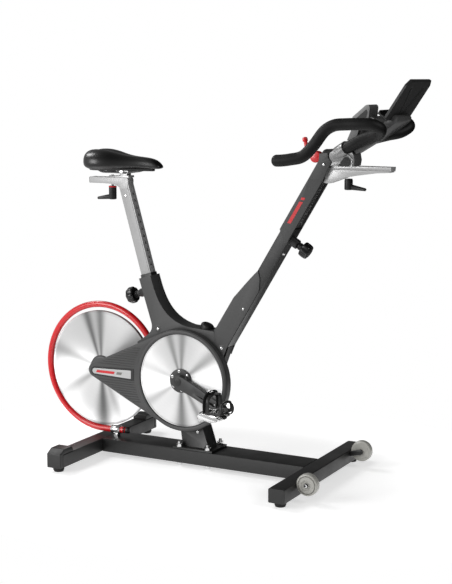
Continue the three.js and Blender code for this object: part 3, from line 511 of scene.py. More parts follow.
for node in ("base_spine", "rear_crossbar", "front_crossbar"):
    refined(node, "steel_black", 2.6, 3)
for side in ("right", "left"):
    sign = -1 if side == "right" else 1
    refined("rear_end_cap_" + side, "dark", 2.2, 3)
    refined("wheel_bracket_" + side, "steel_black", 0.8)
    outline = ((-22, -20), (22, -20), (24, -18), (24, 18), (22, 20), (-22, 20), (-24, 18), (-24, -18))
    slab("front_end_cap_" + side, [(FRONT_BAR_X + x, BAR_MIDDLE_Z + z) for x, z in outline], sign * 275.4,
         sign * 277.4,
         "dark", "frame", "black_plastic", bevel=0.7)
    for end, x in (("rear", REAR_BAR_X), ("front", FRONT_BAR_X)):
        rod(f"{end}_foot_{side}_finish", (x, sign * 250, FLOOR), (x, sign * 250, 22.7),
            [(0, 12.5), (0.6, 14.2), (4.6, 15.2), (5.4, 16.3), (6.4, 16.5), (11.5, 16.5), (12.2, 15.6),
             (14.2, 15.4)],
            "rubber", "frame", "black_rubber", [f"{end}_foot_{side}"], 40)
        refined(f"{end}_base_bolt_{side}", "chrome", 0.5)
    inner, outer = sign * 182, sign * 206
    step = 1 if sign > 0 else -1
    rim = 31
    profile = [(4.4, inner), (24, inner), (25, inner + step * 1.2), (28, inner + step * 1.4),
               (30.4, inner + step * 3),
               (rim, inner + step * 6), (rim, outer - step * 7), (30.2, outer - step * 3.4),
               (28.2, outer - step * 1.6),
               (26.4, outer - step * 1.2), (25.6, outer - step * 2.4), (23.6, outer - step * 2.6),
               (22.8, outer - step * 1.0),
               (14.6, outer), (13.8, outer - step * 1.6), (9.4, outer - step * 1.8),
               (8.6, outer - step * 0.4), (4.4, outer - step * 0.4)]
    lathe(f"transport_wheel_{side}_finish", profile, TRANSPORT_AXLE, "wheel", "wheel_" + side,
          "wheel_plastic",
          [f"transport_wheel_{side}"], 96)
    # Darker rings laid in the bottoms of the wheel's grooves: painted shade in the grooves.
    for k, r0 in enumerate((24.6, 11.6)):
        lathe(f"wheel_groove_shade_{side}_{k}",
              [(r0 - 1.0, outer - step * 2.6), (r0 - 1.0, outer - step * 2.2), (r0 + 1.0, outer - step * 2.2),
                                         (r0 + 1.0, outer - step * 2.7)], TRANSPORT_AXLE, "wheel_groove",
              "wheel_" + side, "wheel_plastic",
              segments=96)
    socket_screw(f"wheel_screw_{side}", (TRANSPORT_AXLE[0], outer + sign * 3.6, TRANSPORT_AXLE[1]), 5.2,
                 "frame", (0, sign, 0), 2.0)

refined("pedestal", "steel_black", 1.2, 2)
socket_screw("pedestal_screw", (-66, -27.2, 117), 4.0, "frame")

# ---------------------------------------------------------------- frame and covers

refined("frame_web", "dark", 1.0)
refined("seat_tube", "steel_black", 0.7)
refined("mast_tube", "steel_black", 2.2, 3)
refined("seat_tube_cover", "grey", 2.2, 3)
refined("mast_cover", "grey", 2.2, 3)
refined("flywheel_arm_right", "steel_black", 0.8)
refined("flywheel_arm_left", "steel_black", 0.8)
refined("flywheel_axle", "chrome", 0.6)
refined("belt_cover_right", "grey", 1.8, 3)
refined("belt_cover_left", "grey", 1.8, 3)
refined("drive_belt", "rubber", 0.3, 1)
refined("guard_clamp", "chrome", 0.5)
refined("frame_plug", "dark", 1.6, 3)
rod("plug_disc", (-52, 0, 420), (-46.4, 0, 434), [(15.4, 18.2), (16.3, 17.4), (16.8, 15)], "deep_grey",
    "frame", "dark_plastic",
    segments=48)

CRANK = (-112, 271)
lathe("cover_rim", [(139.6, -45.2), (140.6, -47.4), (143.4, -48.4), (147.6, -48.2), (150.6, -46.4),
                    (151.4, -44.9), (145, -44.4)],
      CRANK, "grey", "frame", "grey_plastic", segments=192, angle=50)
# A gloss black ring in the gap between the rim and the disc: painted shade in the gap.
lathe("cover_gap_painted_shade", [(138.9, -42.0), (138.9, -45.4), (139.9, -46.2), (140.4, -45.0)], CRANK,
      "gloss_black", "frame",
      "grey_plastic", segments=192, angle=50)
lathe("cover_rim_shadow_line",
      [(151.6, -44.7), (151.9, -41.6), (152.7, -41.4), (152.9, -43.6), (152.5, -44.7)],
      CRANK, "dark", "frame", "grey_plastic", segments=192, angle=50)


def cover_ribs():
    """Raised lines along the cover's arm, from its edge to the round rim."""
    nearest, pitch, shortest, rim_reach = 24.5, 7.2, 14, 161

    def section(i, count):
        s = 0.35 if i in (0, count - 1) else 1.0
        return circle(1.5 * s, 8, s)
    bm = bmesh.new()
    for h in [nearest + pitch * k for k in range(9)]:
        x0 = -424.3 + (h - 21.4) / 0.465 + 12
        x1 = CRANK[0] - math.sqrt(max(0, rim_reach ** 2 - h * h))
        if x1 - x0 >= shortest:
            for z in (272.5 + h, 272.5 - h):
                sweep_into(bm, [Vector((x0 + (x1 - x0) * t / 10, -45.0, z)) for t in range(11)], section)
    put("cover_ribs", bm, "deep_grey", "frame", "grey_plastic", angle=60)


cover_ribs()

def badge_outline(x0, r0, x1, half, z=271.4):
    """A wedge with a round nose at x0 and a square end at x1."""
    pts = [(x0 + r0 * math.cos(math.radians(a)), z + r0 * math.sin(math.radians(a))) for a in range(94, 268,
                                                                                                    12)]
    q = 2.6
    pts += [(x1 - q + q * math.cos(math.radians(a)),
             z - half + q + q * math.sin(math.radians(a))) for a in range(-90, 1, 18)]
    pts += [(x1 - q + q * math.cos(math.radians(a)),
             z + half - q + q * math.sin(math.radians(a))) for a in range(0, 91, 18)]
    return pts


slab("badge_surround", badge_outline(-414, 13.4, -274.5, 19), -44.6, -46.4, "dark", "frame", "grey_plastic",
     bevel=0.8)
slab("badge_plate", badge_outline(-413, 8.4, -284, 12.8), -46.2, -47.5, "plate", "frame", "light_metal",
     bevel=0.5)
for name, x0, x1, mat, slot in (("badge_stripe", -408, -344, "red_plastic", "red_steel"),
                                ("badge_dash", -336, -318, "wheel_groove", "grey_plastic")):
    slab(name, [(x0, 267.4), (x1, 267.4), (x1 + 3.2, 275.4), (x0 + 3.2, 275.4)], -47.4, -47.8, mat, "frame",
         slot,
         bevel=0.15, rounds=1)

socket_screw("cover_screw_rear", (-200, -27.4, 416), 4.0, "frame")
socket_screw("cover_screw_front", (14, -28.4, 376.6), 4.0, "frame")
socket_screw("mast_cover_screw", (85, -28.2, 498), 3.6, "frame")


# The low round bosses that two of the cover screws sit in.
for name, x, y, z in (("screw_boss_rear", -200, -26.6, 416), ("screw_boss_front", 14, -27.6, 376.6)):
    rod(name, (x, y, z), (x, y - 1, z), [(0, 12.0), (0.4, 10.9), (0.8, 9.5)], "grey", "frame", "grey_plastic",
        segments=32)

# ---------------------------------------------------------------- flywheel, guard, disc

WHEEL = (-415, 272)
GUARD = (-413, 276)
GUARD_RADIUS = 194.5
# The lobes give the painted reflection sectors: dark and bright bands painted into each faced disc's colour.
wheel_steel = spun_with_painted_reflections("faced_flywheel_steel_painted_reflections", V(WHEEL[0], 0, WHEEL[1]), grey(116), grey(232), 0.36,
                   ((91, 220, 0.7), (108, 220, 0.8), (99, 50, 0.2), (38, 50, 0.6), (163, 90, 0.55),
                    (212, 90, 0.5),
                    (272, 60, 1.0), (294, 160, 0.4), (318, 160, 0.45), (188, 200, 0.2), (15, 160, 0.3)))
disc_steel = spun_with_painted_reflections("faced_disc_steel_painted_reflections", V(CRANK[0], 0, CRANK[1]), grey(116), grey(232), 0.36,
                  ((88, 160, 0.65), (107, 180, 0.65), (38, 60, 0.7), (164, 70, 0.45), (180, 300, 0.2),
                   (214, 160, 0.4),
                   (271, 60, 0.9), (301, 160, 0.7), (318, 200, 0.3), (20, 300, 0.15)))

R = 178.5
face = [(20.3, -5.6), (38, -5.6), (42, -5.2), (168, -5.2), (170, -6), (R - 1.6, -6), (R, -4.6)]
lathe("flywheel_finish", face + [(r, -y) for r, y in reversed(face)], WHEEL, wheel_steel, "flywheel",
      "flywheel_steel",
      ["flywheel"], 256)
hub = [(6.4, -35.5), (12, -35.5), (12, -24.5), (11, -24), (11, -11), (33, -11), (36, -10.4), (39.4, -7.4),
       (40, -6.4),
       (19.7, -6.3), (19.7, 10.6), (6.4, 10.6)]
lathe("flywheel_hub_finish", hub, WHEEL, "steel_grey", "flywheel", "grey_steel", ["flywheel_hub"], 96)

points = [(GUARD[0] + GUARD_RADIUS * math.cos(math.radians(a)), 0,
           GUARD[1] + GUARD_RADIUS * math.sin(math.radians(a)))
          for a in [14 + 12.4 * k for k in range(21)]]
points += [(GUARD[0] + 10, 0, GUARD[1] - 194), (GUARD[0] + 46, 0, GUARD[1] - 193),
           (GUARD[0] + 84, 0, GUARD[1] - 191.5)]
sweep("flywheel_guard_finish", smooth_path(points, 7), round_section(9.75, 28, 2), "red", "frame",
      "red_steel",
      ["flywheel_guard"])
end = Vector(points[-1])
rod("guard_end_cap", end + Vector((-1.5, 0, 0)), end + Vector((9, 0, 0.2)),
    [(0, 10.2), (6.5, 10.2), (8.6, 9.4), (9.6, 7.4), (10, 4)], "black", "frame", "black_plastic", segments=32)
rod("guard_end_band", end + Vector((-10, 0, -0.3)), end + Vector((-6, 0, -0.2)),
    [(0, 10.0), (0.4, 10.3), (3, 10.3), (3.4, 10.0)],
    "black", "frame", "black_plastic", segments=32)

disc = [(12.4, -45), (36, -45), (120, -44.6), (134, -44.4), (135, -45.3), (137.6, -45.4), (138.5, -44.8),
        (138.5, -43.2), (12.4, -43.2)]
lathe("front_disc_finish", disc, CRANK, disc_steel, "crankset", "flywheel_steel", ["front_disc"], 256)
refined("drive_pulley", "dark", 0.6)
refined("crank_axle", "steel_grey", 0.7)
lathe("crank_flange_face",
      [(13, -48.4), (35.4, -48.4), (35.8, -48.9), (34.6, -49.5), (14, -49.5), (13, -49.2)], CRANK,
      "deep_grey", "crankset", "grey_steel", segments=96)
for k in range(6):
    a = math.radians(98 + 60 * k)
    chrome_bolt(f"flange_bolt_{k}", (CRANK[0] + 28.6 * math.cos(a), -49.4, CRANK[1] + 28.6 * math.sin(a)),
                (0, -1, 0),
                2.9, 3.0, "crankset")
refined("crank_arm_right", "deep_grey", 1.6, 3)
refined("crank_arm_left", "deep_grey", 1.6, 3)
for sign, side in ((-1, "right"), (1, "left")):
    rod(f"crank_cap_{side}", (CRANK[0], sign * 66.4, CRANK[1]), (CRANK[0], sign * 69, CRANK[1]),
        [(0, 12.5), (1.0, 12.5), (1.6, 11.4), (1.7, 3.2), (2.3, 2.6)], "dark", "crankset", "grey_steel",
        segments=40)
refined("magnet_carrier", "dark", 0.6)

# ---------------------------------------------------------------- pedals

for side, place, sign in (("right", (45.286, 206.492), -1), ("left", (-269.286, 335.508), 1)):
    px, pz = place
    body = "pedal_" + side

    def at_pedal(x, y, z, px=px, pz=pz, sign=sign):
        return V(px + x, -sign * y, pz + z)

    refined("pedal_" + side, "chrome", 1.1, 2)
    refined("toe_cage_" + side, "dark", 0.9, 2)
    plates = bmesh.new()
    for y0, y1, drop in ((-172, -167, 0), (-150, -145, -1), (-131, -126, -1), (-109, -104, 0)):
        slab_into(plates, [(-34, -6 + drop), (-26, -15 + drop), (-8, -12), (6, -15), (26, -13 + drop),
                           (37, -6 + drop), (34, -1),
                           (22, -3), (6, -8.8), (-10, -7.6), (-24, -8)], y0, y1, at_pedal)
    put("pedal_plates_" + side, plates, "chrome", body, "chrome_steel", bevel=0.8)
    coil = bmesh.new()
    for x, y, z, r, rise in ((-24, -146, -11.5, 4.6, 0.52), (24, -150, -10.5, 4.2, 0.55)):
        turns = [Vector((x + r * math.cos(t * math.pi / 4), y + rise * t, z + r * math.sin(t * math.pi / 4)))
                 for t in range(41)]
        sweep_into(coil, turns, round_section(0.9, 8), at_pedal)
    put("pedal_springs_" + side, coil, "chrome", body, "chrome_steel", angle=60)
    pins = bmesh.new()
    for x, z in ((-27, -9), (27, -8.5), (-16, -10.6), (14, -11)):
        rod_into(pins, (x, -175, z), (x, -101, z),
                 [(0, 2.2), (0.8, 2.9), (3, 2.9), (3.2, 2.1), (70.8, 2.1), (71, 2.9), (73.2, 2.9), (74, 2.2)],
                 16, at_pedal)
    put("pedal_pins_" + side, pins, "chrome", body, "chrome_steel", angle=40)
    nose = bmesh.new()
    slab_into(nose, [(-28, -3), (-37, -8), (-41, -3), (-38, 6), (-30, 8)], -150, -128, at_pedal)
    slab_into(nose, [(30, -5), (39, -9), (43, -5), (39, 2), (31, 3)], -146, -132, at_pedal)
    for x0, x1, y0, y1 in ((-20, -4, -166, -152), (2, 20, -166, -152), (-20, -4, -143, -132),
                           (2, 20, -143, -132), (-18, 18, -124, -111)):
        slab_into(nose, [(x0, -7.2), (x1, -7.2), (x1 - 2, -2.2), (x0 + 2, -2.2)], y0, y1, at_pedal)
    put("pedal_noses_" + side, nose, "black", body, "black_plastic", bevel=1.6, rounds=3)

    strap = bmesh.new()
    loop = smooth_path([(-8, -100, 12), (-8, -97.6, 32), (-8, -101, 50), (-8, -113, 59), (-8, -138, 62),
                        (-8, -162, 59.5),
                        (-8, -175, 50), (-8, -178.6, 32), (-8, -176, 12)], 5)

    def flat_strap(i, count):
        return [(1.1, -7), (1.1, 7), (0.5, 8.4), (-0.5, 8.4), (-1.1, 7), (-1.1, -7), (-0.5, -8.4),
                (0.5, -8.4)]
    sweep_into(strap, [p + Vector((1, 0, 0)) for p in loop], flat_strap, place=at_pedal)
    tail = smooth_path([(44.6, -134, 41), (54, -134, 40), (61, -134, 31), (61, -134, 17), (54, -134, 8),
                        (44.6, -134, 8.5)], 6)

    def tail_strap(i, count):
        return [(1.4, -4), (1.4, 4), (-1.4, 4), (-1.4, -4)]
    sweep_into(strap, tail, tail_strap, place=at_pedal)
    slab_into(strap, [(-17, 58), (1, 58), (3, 61), (1, 67.5), (-17, 67.5), (-19, 61)], -152, -128, at_pedal)
    put("toe_strap_" + side, strap, "rubber", body, "black_plastic", angle=40)
    slab("strap_buckle_" + side, [(-15, 62), (-1, 62), (-1, 68.6), (-15, 68.6)], -149, -131,
         "chrome", body, "chrome_steel", at_pedal, bevel=1.0)

# ---------------------------------------------------------------- seat

def lobed_knob(name, place, reach, height, radius, sign):
    """A grip with eight soft lobes, a waisted stem and a spring collar."""
    bm = bmesh.new()

    def spot(x, y, z):
        return place(sign * x, y, height + z)
    sides = 96
    rings = []
    for x, r, lobe in ((reach + 20.0, 0.50, 0.0), (reach + 19.8, 0.72, 0.5), (reach + 18.6, 0.88, 1.2),
                       (reach + 15.6, 0.97, 2.0),
                       (reach + 12, 1.0, 2.4), (reach + 2, 1.0, 2.4), (reach - 1.6, 0.97, 2.0),
                       (reach - 3.6, 0.88, 1.2),
                       (reach - 4.0, 0.7, 0.4)):
        ring = []
        for k in range(sides):
            a = 2 * math.pi * k / sides
            q = (radius - lobe / 2) * r + lobe / 2 * math.cos(8 * a)
            ring.append(bm.verts.new(spot(x, q * math.cos(a), q * math.sin(a))))
        rings.append(ring)
    put(name + "_grip", join_rings(bm, rings), "gloss_black", name, "black_plastic", [name], angle=38)
    far = reach - 3.6
    stem = [(0, 10.5), (1, 11.2), (4, 11.2), (5, 9.4), (6.4, 9.2), (7.4, 10.6), (10, 11.0), (11, 9.6),
            (12.6, 9.4),
            (13.6, 10.4), (far - 43.6, 10.6), (far - 42.9, 10.0)]
    stem = [p for p in stem if p[0] <= far - 42.8]
    rod(name + "_stem", (sign * far, 0, height), (sign * 42.9, 0, height), stem, "black", name,
        "black_plastic",
        segments=48, place=place)
    face = (sign * (reach + 20.0), 0, height)
    rod(name + "_insert", face, (face[0] + sign, 0, height),
        [(-0.6, radius * 0.46), (0.3, radius * 0.44), (0.8, radius * 0.36)],
        "dark", name, "black_plastic", segments=48, place=place)


lobed_knob("seat_knob", on_seat, 66, -53, 25, -1)
lobed_knob("bar_knob", on_mast, 61, 18, 23, 1)

refined("seat_post", "alu_up", 1.0, 3)
refined("seat_slider", "alu_along", 0.8)


def marks():
    """Height marks down the post's front face: a crosswise tick and a short upright tick at each step."""
    bm = bmesh.new()
    holes = bmesh.new()
    for k in range(11):
        z = 22 + 21.6 * k
        slab_into(bm, [(16.5, z - 1.0), (16.9, z - 1.0), (16.9, z + 1.0), (16.5, z + 1.0)], -5.0, 5.0,
                  on_seat)
        slab_into(bm, [(16.5, z - 1.0), (16.9, z - 1.0), (16.9, z + 6.5), (16.5, z + 6.5)], -1.2, 1.2,
                  on_seat)
    put("seat_post_marks", bm, "mark", "seat_post", "black_plastic", angle=30)
    for k in range(9):
        z = 60 - 24 * k - 30
        rod_into(holes, (-17.0, 0, z), (-16.2, 0, z), [(0, 5.6), (0.8, 6.2)], 24, on_seat)
    put("seat_post_holes", holes, "dark", "seat_post", "black_plastic", angle=30)
    groove = bmesh.new()
    slab_into(groove, [(12.2, -190), (12.9, -190), (12.9, 262), (12.2, 262)], -15.25, -14.9, on_seat)
    slab_into(groove, [(12.2, -190), (12.9, -190), (12.9, 262), (12.2, 262)], 14.9, 15.25, on_seat)
    put("seat_post_edge_lines", groove, "steel_grey", "seat_post", "grey_steel", angle=30)


marks()
socket_screw("seat_post_screw", (-315, -15.1, 806), 4.4, "seat_post")
slab("seat_rail_cap", [(-443.2, 842.5), (-441.1, 842), (-441.1, 859.6), (-443.2, 859)], -15.6, 15.6,
     "dark", "seat_post", "black_plastic", bevel=0.8)


def lever(name, x, sign, radius=11.6, ring=False):
    """A turned hub with a tapering paddle, and on one of them a coloured ring under the rail."""
    low, high = (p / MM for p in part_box(name))
    bottom, top = low.z + FLOOR, high.z + FLOOR
    tip = ((low.x if sign < 0 else high.x) - SHIFT_X - 2 * sign, 0, bottom + 2)
    rod(name + "_hub", (x, 0, bottom), (x, 0, top),
        [(0, radius - 2.4), (1.2, radius - 0.6), (3, radius), (top - bottom - 4, radius),
         (top - bottom - 3.6, radius - 0.8),
         (top - bottom - 0.4, radius - 0.8), (top - bottom - 0.1, radius - 1.6)],
        "black", name, "black_plastic", [name], segments=56)
    if ring:
        rod(name + "_ring", (x, 0, top - 4), (x, 0, top - 0.4),
            [(0, radius + 0.1), (0.4, radius + 0.3), (3.0, radius + 0.3), (3.4, radius)],
            "red_plastic", name, "red_steel", segments=56)
    start, end = Vector((x, 0, bottom + 9)), Vector(tip)
    path = smooth_path([start, start.lerp(end, 0.35), start.lerp(end, 0.7), end], 8)

    def paddle(i, count):
        t = i / (count - 1)
        w = 8.2 - 2.0 * math.sin(math.pi * min(1, t * 1.1)) - 2.0 * t
        h = 8.4 - 4.4 * t
        if i == count - 1:
            w, h = w * 0.6, h * 0.6
        return circle(h, 20, w)
    sweep(name + "_paddle", path, paddle, "black", name, "black_plastic")


lever("seat_lever", -370, -1, ring=True)
lever("bar_lever", 394, 1)


def saddle():
    """Two broad rear lobes with a channel between them, running into a slim nose that droops at its tip."""
    stations = [
        # x, half width, lower edge z, crown z, channel depth
        (-447, 22, 903, 925, 5), (-444.5, 40, 894, 934, 7), (-439, 55, 886.5, 940, 9),
        (-428, 67, 881.5, 944, 11),
        (-412, 73, 879.5, 945.5, 10), (-388, 75, 879, 945, 9), (-364, 70, 880.5, 940.5, 7),
        (-340, 58, 884, 934, 5),
        (-316, 45, 886.5, 929, 3.5), (-290, 34, 887.5, 925.5, 2.0), (-262, 26, 888, 923.5, 1.0),
        (-236, 22.5, 888, 920.5, 0.4),
        (-219, 20.5, 888, 915.5, 0), (-208, 18, 888.5, 908, 0), (-201.5, 14, 890, 900.5, 0),
        (-198.5, 8, 892.5, 896.5, 0),
    ]
    bm = bmesh.new()
    sides = 36
    rings = []
    for x, half, low, crown, channel in stations:
        skirt = low + (crown - low) * 0.36
        ring = []
        for k in range(sides):
            a = 2 * math.pi * k / sides
            c, s = math.cos(a), math.sin(a)
            y = half * math.copysign(abs(c) ** 0.82, c)
            if s >= 0:
                z = skirt + (crown - skirt) * abs(s) ** 0.86
                z -= channel * math.exp(-(y / 11.0) ** 2) * abs(s)
            else:
                z = skirt - (skirt - low) * abs(s) ** 0.6
                y *= 1 - 0.20 * abs(s) ** 1.4
            ring.append(bm.verts.new(V(x, y, z)))
        rings.append(ring)
    piece = put("saddle_pad", join_rings(bm, rings), "skin", "seat_slider", "saddle_skin", ["saddle"],
                subdivide=2)
    base = bmesh.new()
    outline = [(-436, 12), (-428, 40), (-408, 52), (-384, 53), (-350, 42), (-316, 28), (-280, 18), (-240, 11),
               (-225, 7)]
    pts = [(x, y) for x, y in outline] + [(x, -y) for x, y in reversed(outline)]
    top = [base.verts.new(V(x, y, 888.5)) for x, y in pts]
    under = [base.verts.new(V(x * 0.992 - 3, y * 0.9, 881.5)) for x, y in pts]
    put("saddle_base", join_rings(base, [top, under]), "black", "seat_slider", "black_plastic", bevel=1.0)
    rails = bmesh.new()
    for sign in (1, -1):
        path = smooth_path([(-410, sign * 20, 884), (-396, sign * 20, 877.5), (-360, sign * 20, 876.5),
                            (-318, sign * 20, 876.5),
                            (-286, sign * 14, 879), (-262, sign * 10, 884.5)], 6)
        sweep_into(rails, path, round_section(3.2, 14))
    put("saddle_rails", rails, "steel_grey", "seat_slider", "grey_steel", angle=60)
    for sign in (1, -1):
        chrome_bolt(f"saddle_clamp_nut_{'left' if sign > 0 else 'right'}", (-324, sign * 21, 879),
                    (0, sign, 0), 5.2, 5, "seat_slider")


saddle()

# ---------------------------------------------------------------- handlebar

refined("bar_post", "steel_black", 1.0, 2)
refined("bar_post_cover", "grey", 1.8, 3)
refined("bar_rail", "alu_along", 0.9, 2)
refined("bar_clamp", "alu_cast", 1.4, 3)
refined("console_base", "console", 4.5, 4)
refined("display", "silver_grey", 3.0, 4)
socket_screw("bar_cover_screw", (333, -30.2, 919), 4.0, "bar_post")
window = [(372, 915), (404, 915), (410, 922), (410, 934), (403, 941), (392, 941)]
slab("clamp_window", window, -27.6, -27.05, "dark", "bar_slider", "grey_steel", bevel=0.25)
edge = smooth_path([(412, -27.6, 913), (414, -27.6, 922), (413.5, -27.6, 936), (405, -27.6, 945),
                    (391, -27.6, 945)], 6)
sweep("clamp_edge", edge, round_section(1.3, 12), "chrome", "bar_slider", "chrome_steel", angle=60)

scale = bmesh.new()
for k in range(15):
    z = 78 + 9 * k
    half = 3.6 if k % 3 == 0 else 2.0
    slab_into(scale, [(15.05, z - 0.9), (15.4, z - 0.9), (15.4, z + 0.9), (15.05, z + 0.9)], -half, half,
              on_mast)
for y in (-7.6, 7.0):
    slab_into(scale, [(15.0, 68), (15.35, 68), (15.35, 212), (15.0, 212)], y, y + 0.6, on_mast)
put("bar_post_marks", scale, "pale_mark", "bar_post", "light_metal", angle=30)


chrome_bolt("mast_bolt", tilted(MAST_ORIGIN, MAST_TILT, 18.1, -10, -24), tilted((0, 0), MAST_TILT, 1, 0, 0),
            4.2, 6, "frame")
for name, low, high in (("bar_cover_stripe", 62, 134), ("bar_cover_dash", 140, 148)):
    slab(name, [(-10.5, low), (-0.5, low + 4), (-0.5, high + 4), (-10.5, high)], -29.0, -28.5,
         "red_plastic", "bar_post", "red_steel", on_mast, bevel=0.2, rounds=1)

BAR_SIDE = [
    (241, 167, 935), (264, 167, 935), (294, 165, 938.8), (327, 160, 947), (355, 153, 975), (386, 147, 1016),
    (410, 142, 1030),
    (439, 138, 1033), (480, 134, 1034), (508, 126, 1033), (526, 109, 1022), (512, 84, 1007), (482, 58, 999),
    (448, 39, 989),
    (417, 28, 975), (389, 21, 961),
]
points = [(x, -y, z) for x, y, z in BAR_SIDE] + [(371, -12, 950.5), (366, 0, 948), (371, 12, 950.5)]
points += [(x, y, z) for x, y, z in reversed(BAR_SIDE)]
sweep("handlebar_finish", smooth_path(points, 8), round_section(16.2, 32, 5), "foam", "bar_slider",
      "bar_foam",
      ["handlebar"])

rod("resistance_drum", (298, -12.5, 938), (298, 12.5, 938),
    [(0, 13.6), (0.6, 15.2), (2, 16), (6, 16), (7, 15.2), (18, 15.2), (19, 16), (23, 16), (24.4, 15.2),
     (25, 13.6)],
    "red", "resistance_lever", "red_steel", ["resistance_lever"], 64)
stem_path = smooth_path([(293, 0, 939), (281, 0, 945.5), (272, 0, 952), (267.6, 0, 961), (265, 0, 972),
                         (262.6, 0, 982)], 6)


def stem_section(i, count):
    return circle(7.4 - 2.4 * i / (count - 1), 24)


sweep("resistance_stem", stem_path, stem_section, "red", "resistance_lever", "red_steel")
rod("resistance_grip", (263, 0, 979), (260.8, 0, 992),
    [(0, 5.2), (0.6, 6.8), (2, 7.6), (9, 7.3), (11, 6.2), (12.2, 4.4), (12.8, 2.0)], "red",
    "resistance_lever", "red_steel",
    segments=40, angle=45)


def screen():
    """The display's blank window in its upper rear face, its side plates and the plug under it."""
    a, b = Vector((416, 0, 1050)), Vector((452, 0, 1080))
    along = (b - a).normalized()
    out = Vector((-along.z, 0, along.x))
    bm = bmesh.new()
    rings = []
    for lift in (0.0, 0.9):
        near, far = a + along * 6 + out * lift, a + along * 40 + out * lift
        rings.append([bm.verts.new(V(q.x, w, q.z)) for q,
                      w in ((near, -25), (near, 25), (far, 25), (far, -25))])
    put("display_window", join_rings(bm, rings), "screen", "bar_slider", "black_plastic", bevel=0.5)
    side = bmesh.new()
    for y0, y1 in ((-32.7, -31.8), (31.8, 32.7)):
        slab_into(side, [(424, 1044), (455, 1070), (459, 1064), (456, 1050), (448, 1043)], y0, y1)
    put("display_side_plates", side, "dark", "bar_slider", "black_plastic", bevel=0.4)
    connector = bmesh.new()
    rod_into(connector, (462, -12, 1048), (472, -12, 1043),
             [(0, 3.4), (3, 3.4), (3.4, 2.6), (6, 2.6), (6.4, 3.2), (10, 3.2)], 20)
    put("display_plug", connector, "chrome", "bar_slider", "chrome_steel", angle=40)


screen()


def tray():
    """The tablet tray: a leaning plate with raised borders and two curved channels pressed into it."""
    lean = math.radians(33.5)
    c, s = math.cos(lean), math.sin(lean)

    def place(across, up, out):
        # out is towards the rider, from the plate's face
        x = -out * c + up * s
        z = out * s + up * c
        return V(526 + x, across, 1046 + z)
    half, height, notch = 90, 124, 16
    columns, rows = 96, 66
    bm = bmesh.new()

    def width_at(v):
        if v > height - notch:
            return half - (v - (height - notch))
        if v < 6:
            return half - (6 - v)
        return half

    def depth(u, v):
        d = 0.0
        for sign in (1, -1):
            t = v / height
            centre = sign * (22 + 34 * (1 - t) ** 1.6 - 6 * math.sin(math.pi * t))
            w = 5.0 + 1.8 * math.sin(math.pi * min(1, max(0, t)))
            if 5 < v < 104:
                d = max(d, 3.4 * math.exp(-((u - centre) / w) ** 4) * min(1, (104 - v) / 16, (v - 5) / 6))
        edge = min(width_at(v) - abs(u), height - v)
        d -= 0.9 * max(0.0, min(1.0, (5.0 - edge) / 2.0))
        return d

    def channel(u, v):
        t = v / height
        centre = 8 + 50 * max(0.0, t) ** 1.5
        d = 2.6 * math.exp(-((abs(u) - centre) / (4.2 + 2.4 * t)) ** 4) * max(0.0, min(1.0, (106 - v) / 14))
        edge = min(width_at(v) - abs(u), height - v)
        return d + 1.4 * max(0.0, min(1.0, (4.0 - edge) / 4.0)) ** 2
    front, back = [], []
    for j in range(rows + 1):
        v = height * j / rows
        line_f, line_b = [], []
        for i in range(columns + 1):
            u = width_at(v) * (2 * i / columns - 1)
            line_f.append(bm.verts.new(place(u, v, 0.2 - depth(u, v))))
            line_b.append(bm.verts.new(place(u, v, -6.9 + channel(u, v))))
        front.append(line_f)
        back.append(line_b)
    for j in range(rows):
        for i in range(columns):
            bm.faces.new((front[j][i], front[j][i + 1], front[j + 1][i + 1], front[j + 1][i]))
            bm.faces.new((back[j][i], back[j + 1][i], back[j + 1][i + 1], back[j][i + 1]))
    for j in range(rows):
        bm.faces.new((front[j][0], front[j + 1][0], back[j + 1][0], back[j][0]))
        bm.faces.new((front[j][-1], back[j][-1], back[j + 1][-1], front[j + 1][-1]))
    for i in range(columns):
        bm.faces.new((front[0][i], back[0][i], back[0][i + 1], front[0][i + 1]))
        bm.faces.new((front[-1][i], front[-1][i + 1], back[-1][i + 1], back[-1][i]))
    # Gloss black strips in the bottoms of the two channels on the back: painted shade in the channels.
    channel_shade_strips = bmesh.new()
    for sign in (1, -1):
        rows_b = []
        for j in range(41):
            v = 6 + 94 * j / 40
            t = v / height
            centre = 8 + 50 * t ** 1.5
            w = 2.6 + 2.0 * t
            rows_b.append([channel_shade_strips.verts.new(place(sign * centre + u, v, lift))
                           for u, lift in ((-w, -6.2), (w, -6.2), (w, -5.0), (-w, -5.0))])
        join_rings(channel_shade_strips, rows_b)
    put("tray_channel_painted_shade", channel_shade_strips, "gloss_black", "bar_slider", "black_plastic", angle=40)
    put("tablet_tray_face", bm, "tray", "bar_slider", "black_plastic", ["tablet_tray"], angle=42)
    outline = [(0.4, -0.2), (0.4, 5), (21, 5), (23, 12), (25.2, 12.4), (26.2, 11), (26.2, 1.4), (24.6, -0.2)]
    slab("tablet_tray_shelf", outline, -76, 76, "black", "bar_slider", "black_plastic",
         lambda out, across, up: place(across, up, out), bevel=1.0)


tray()

# ---------------------------------------------------------------- floor, light, camera

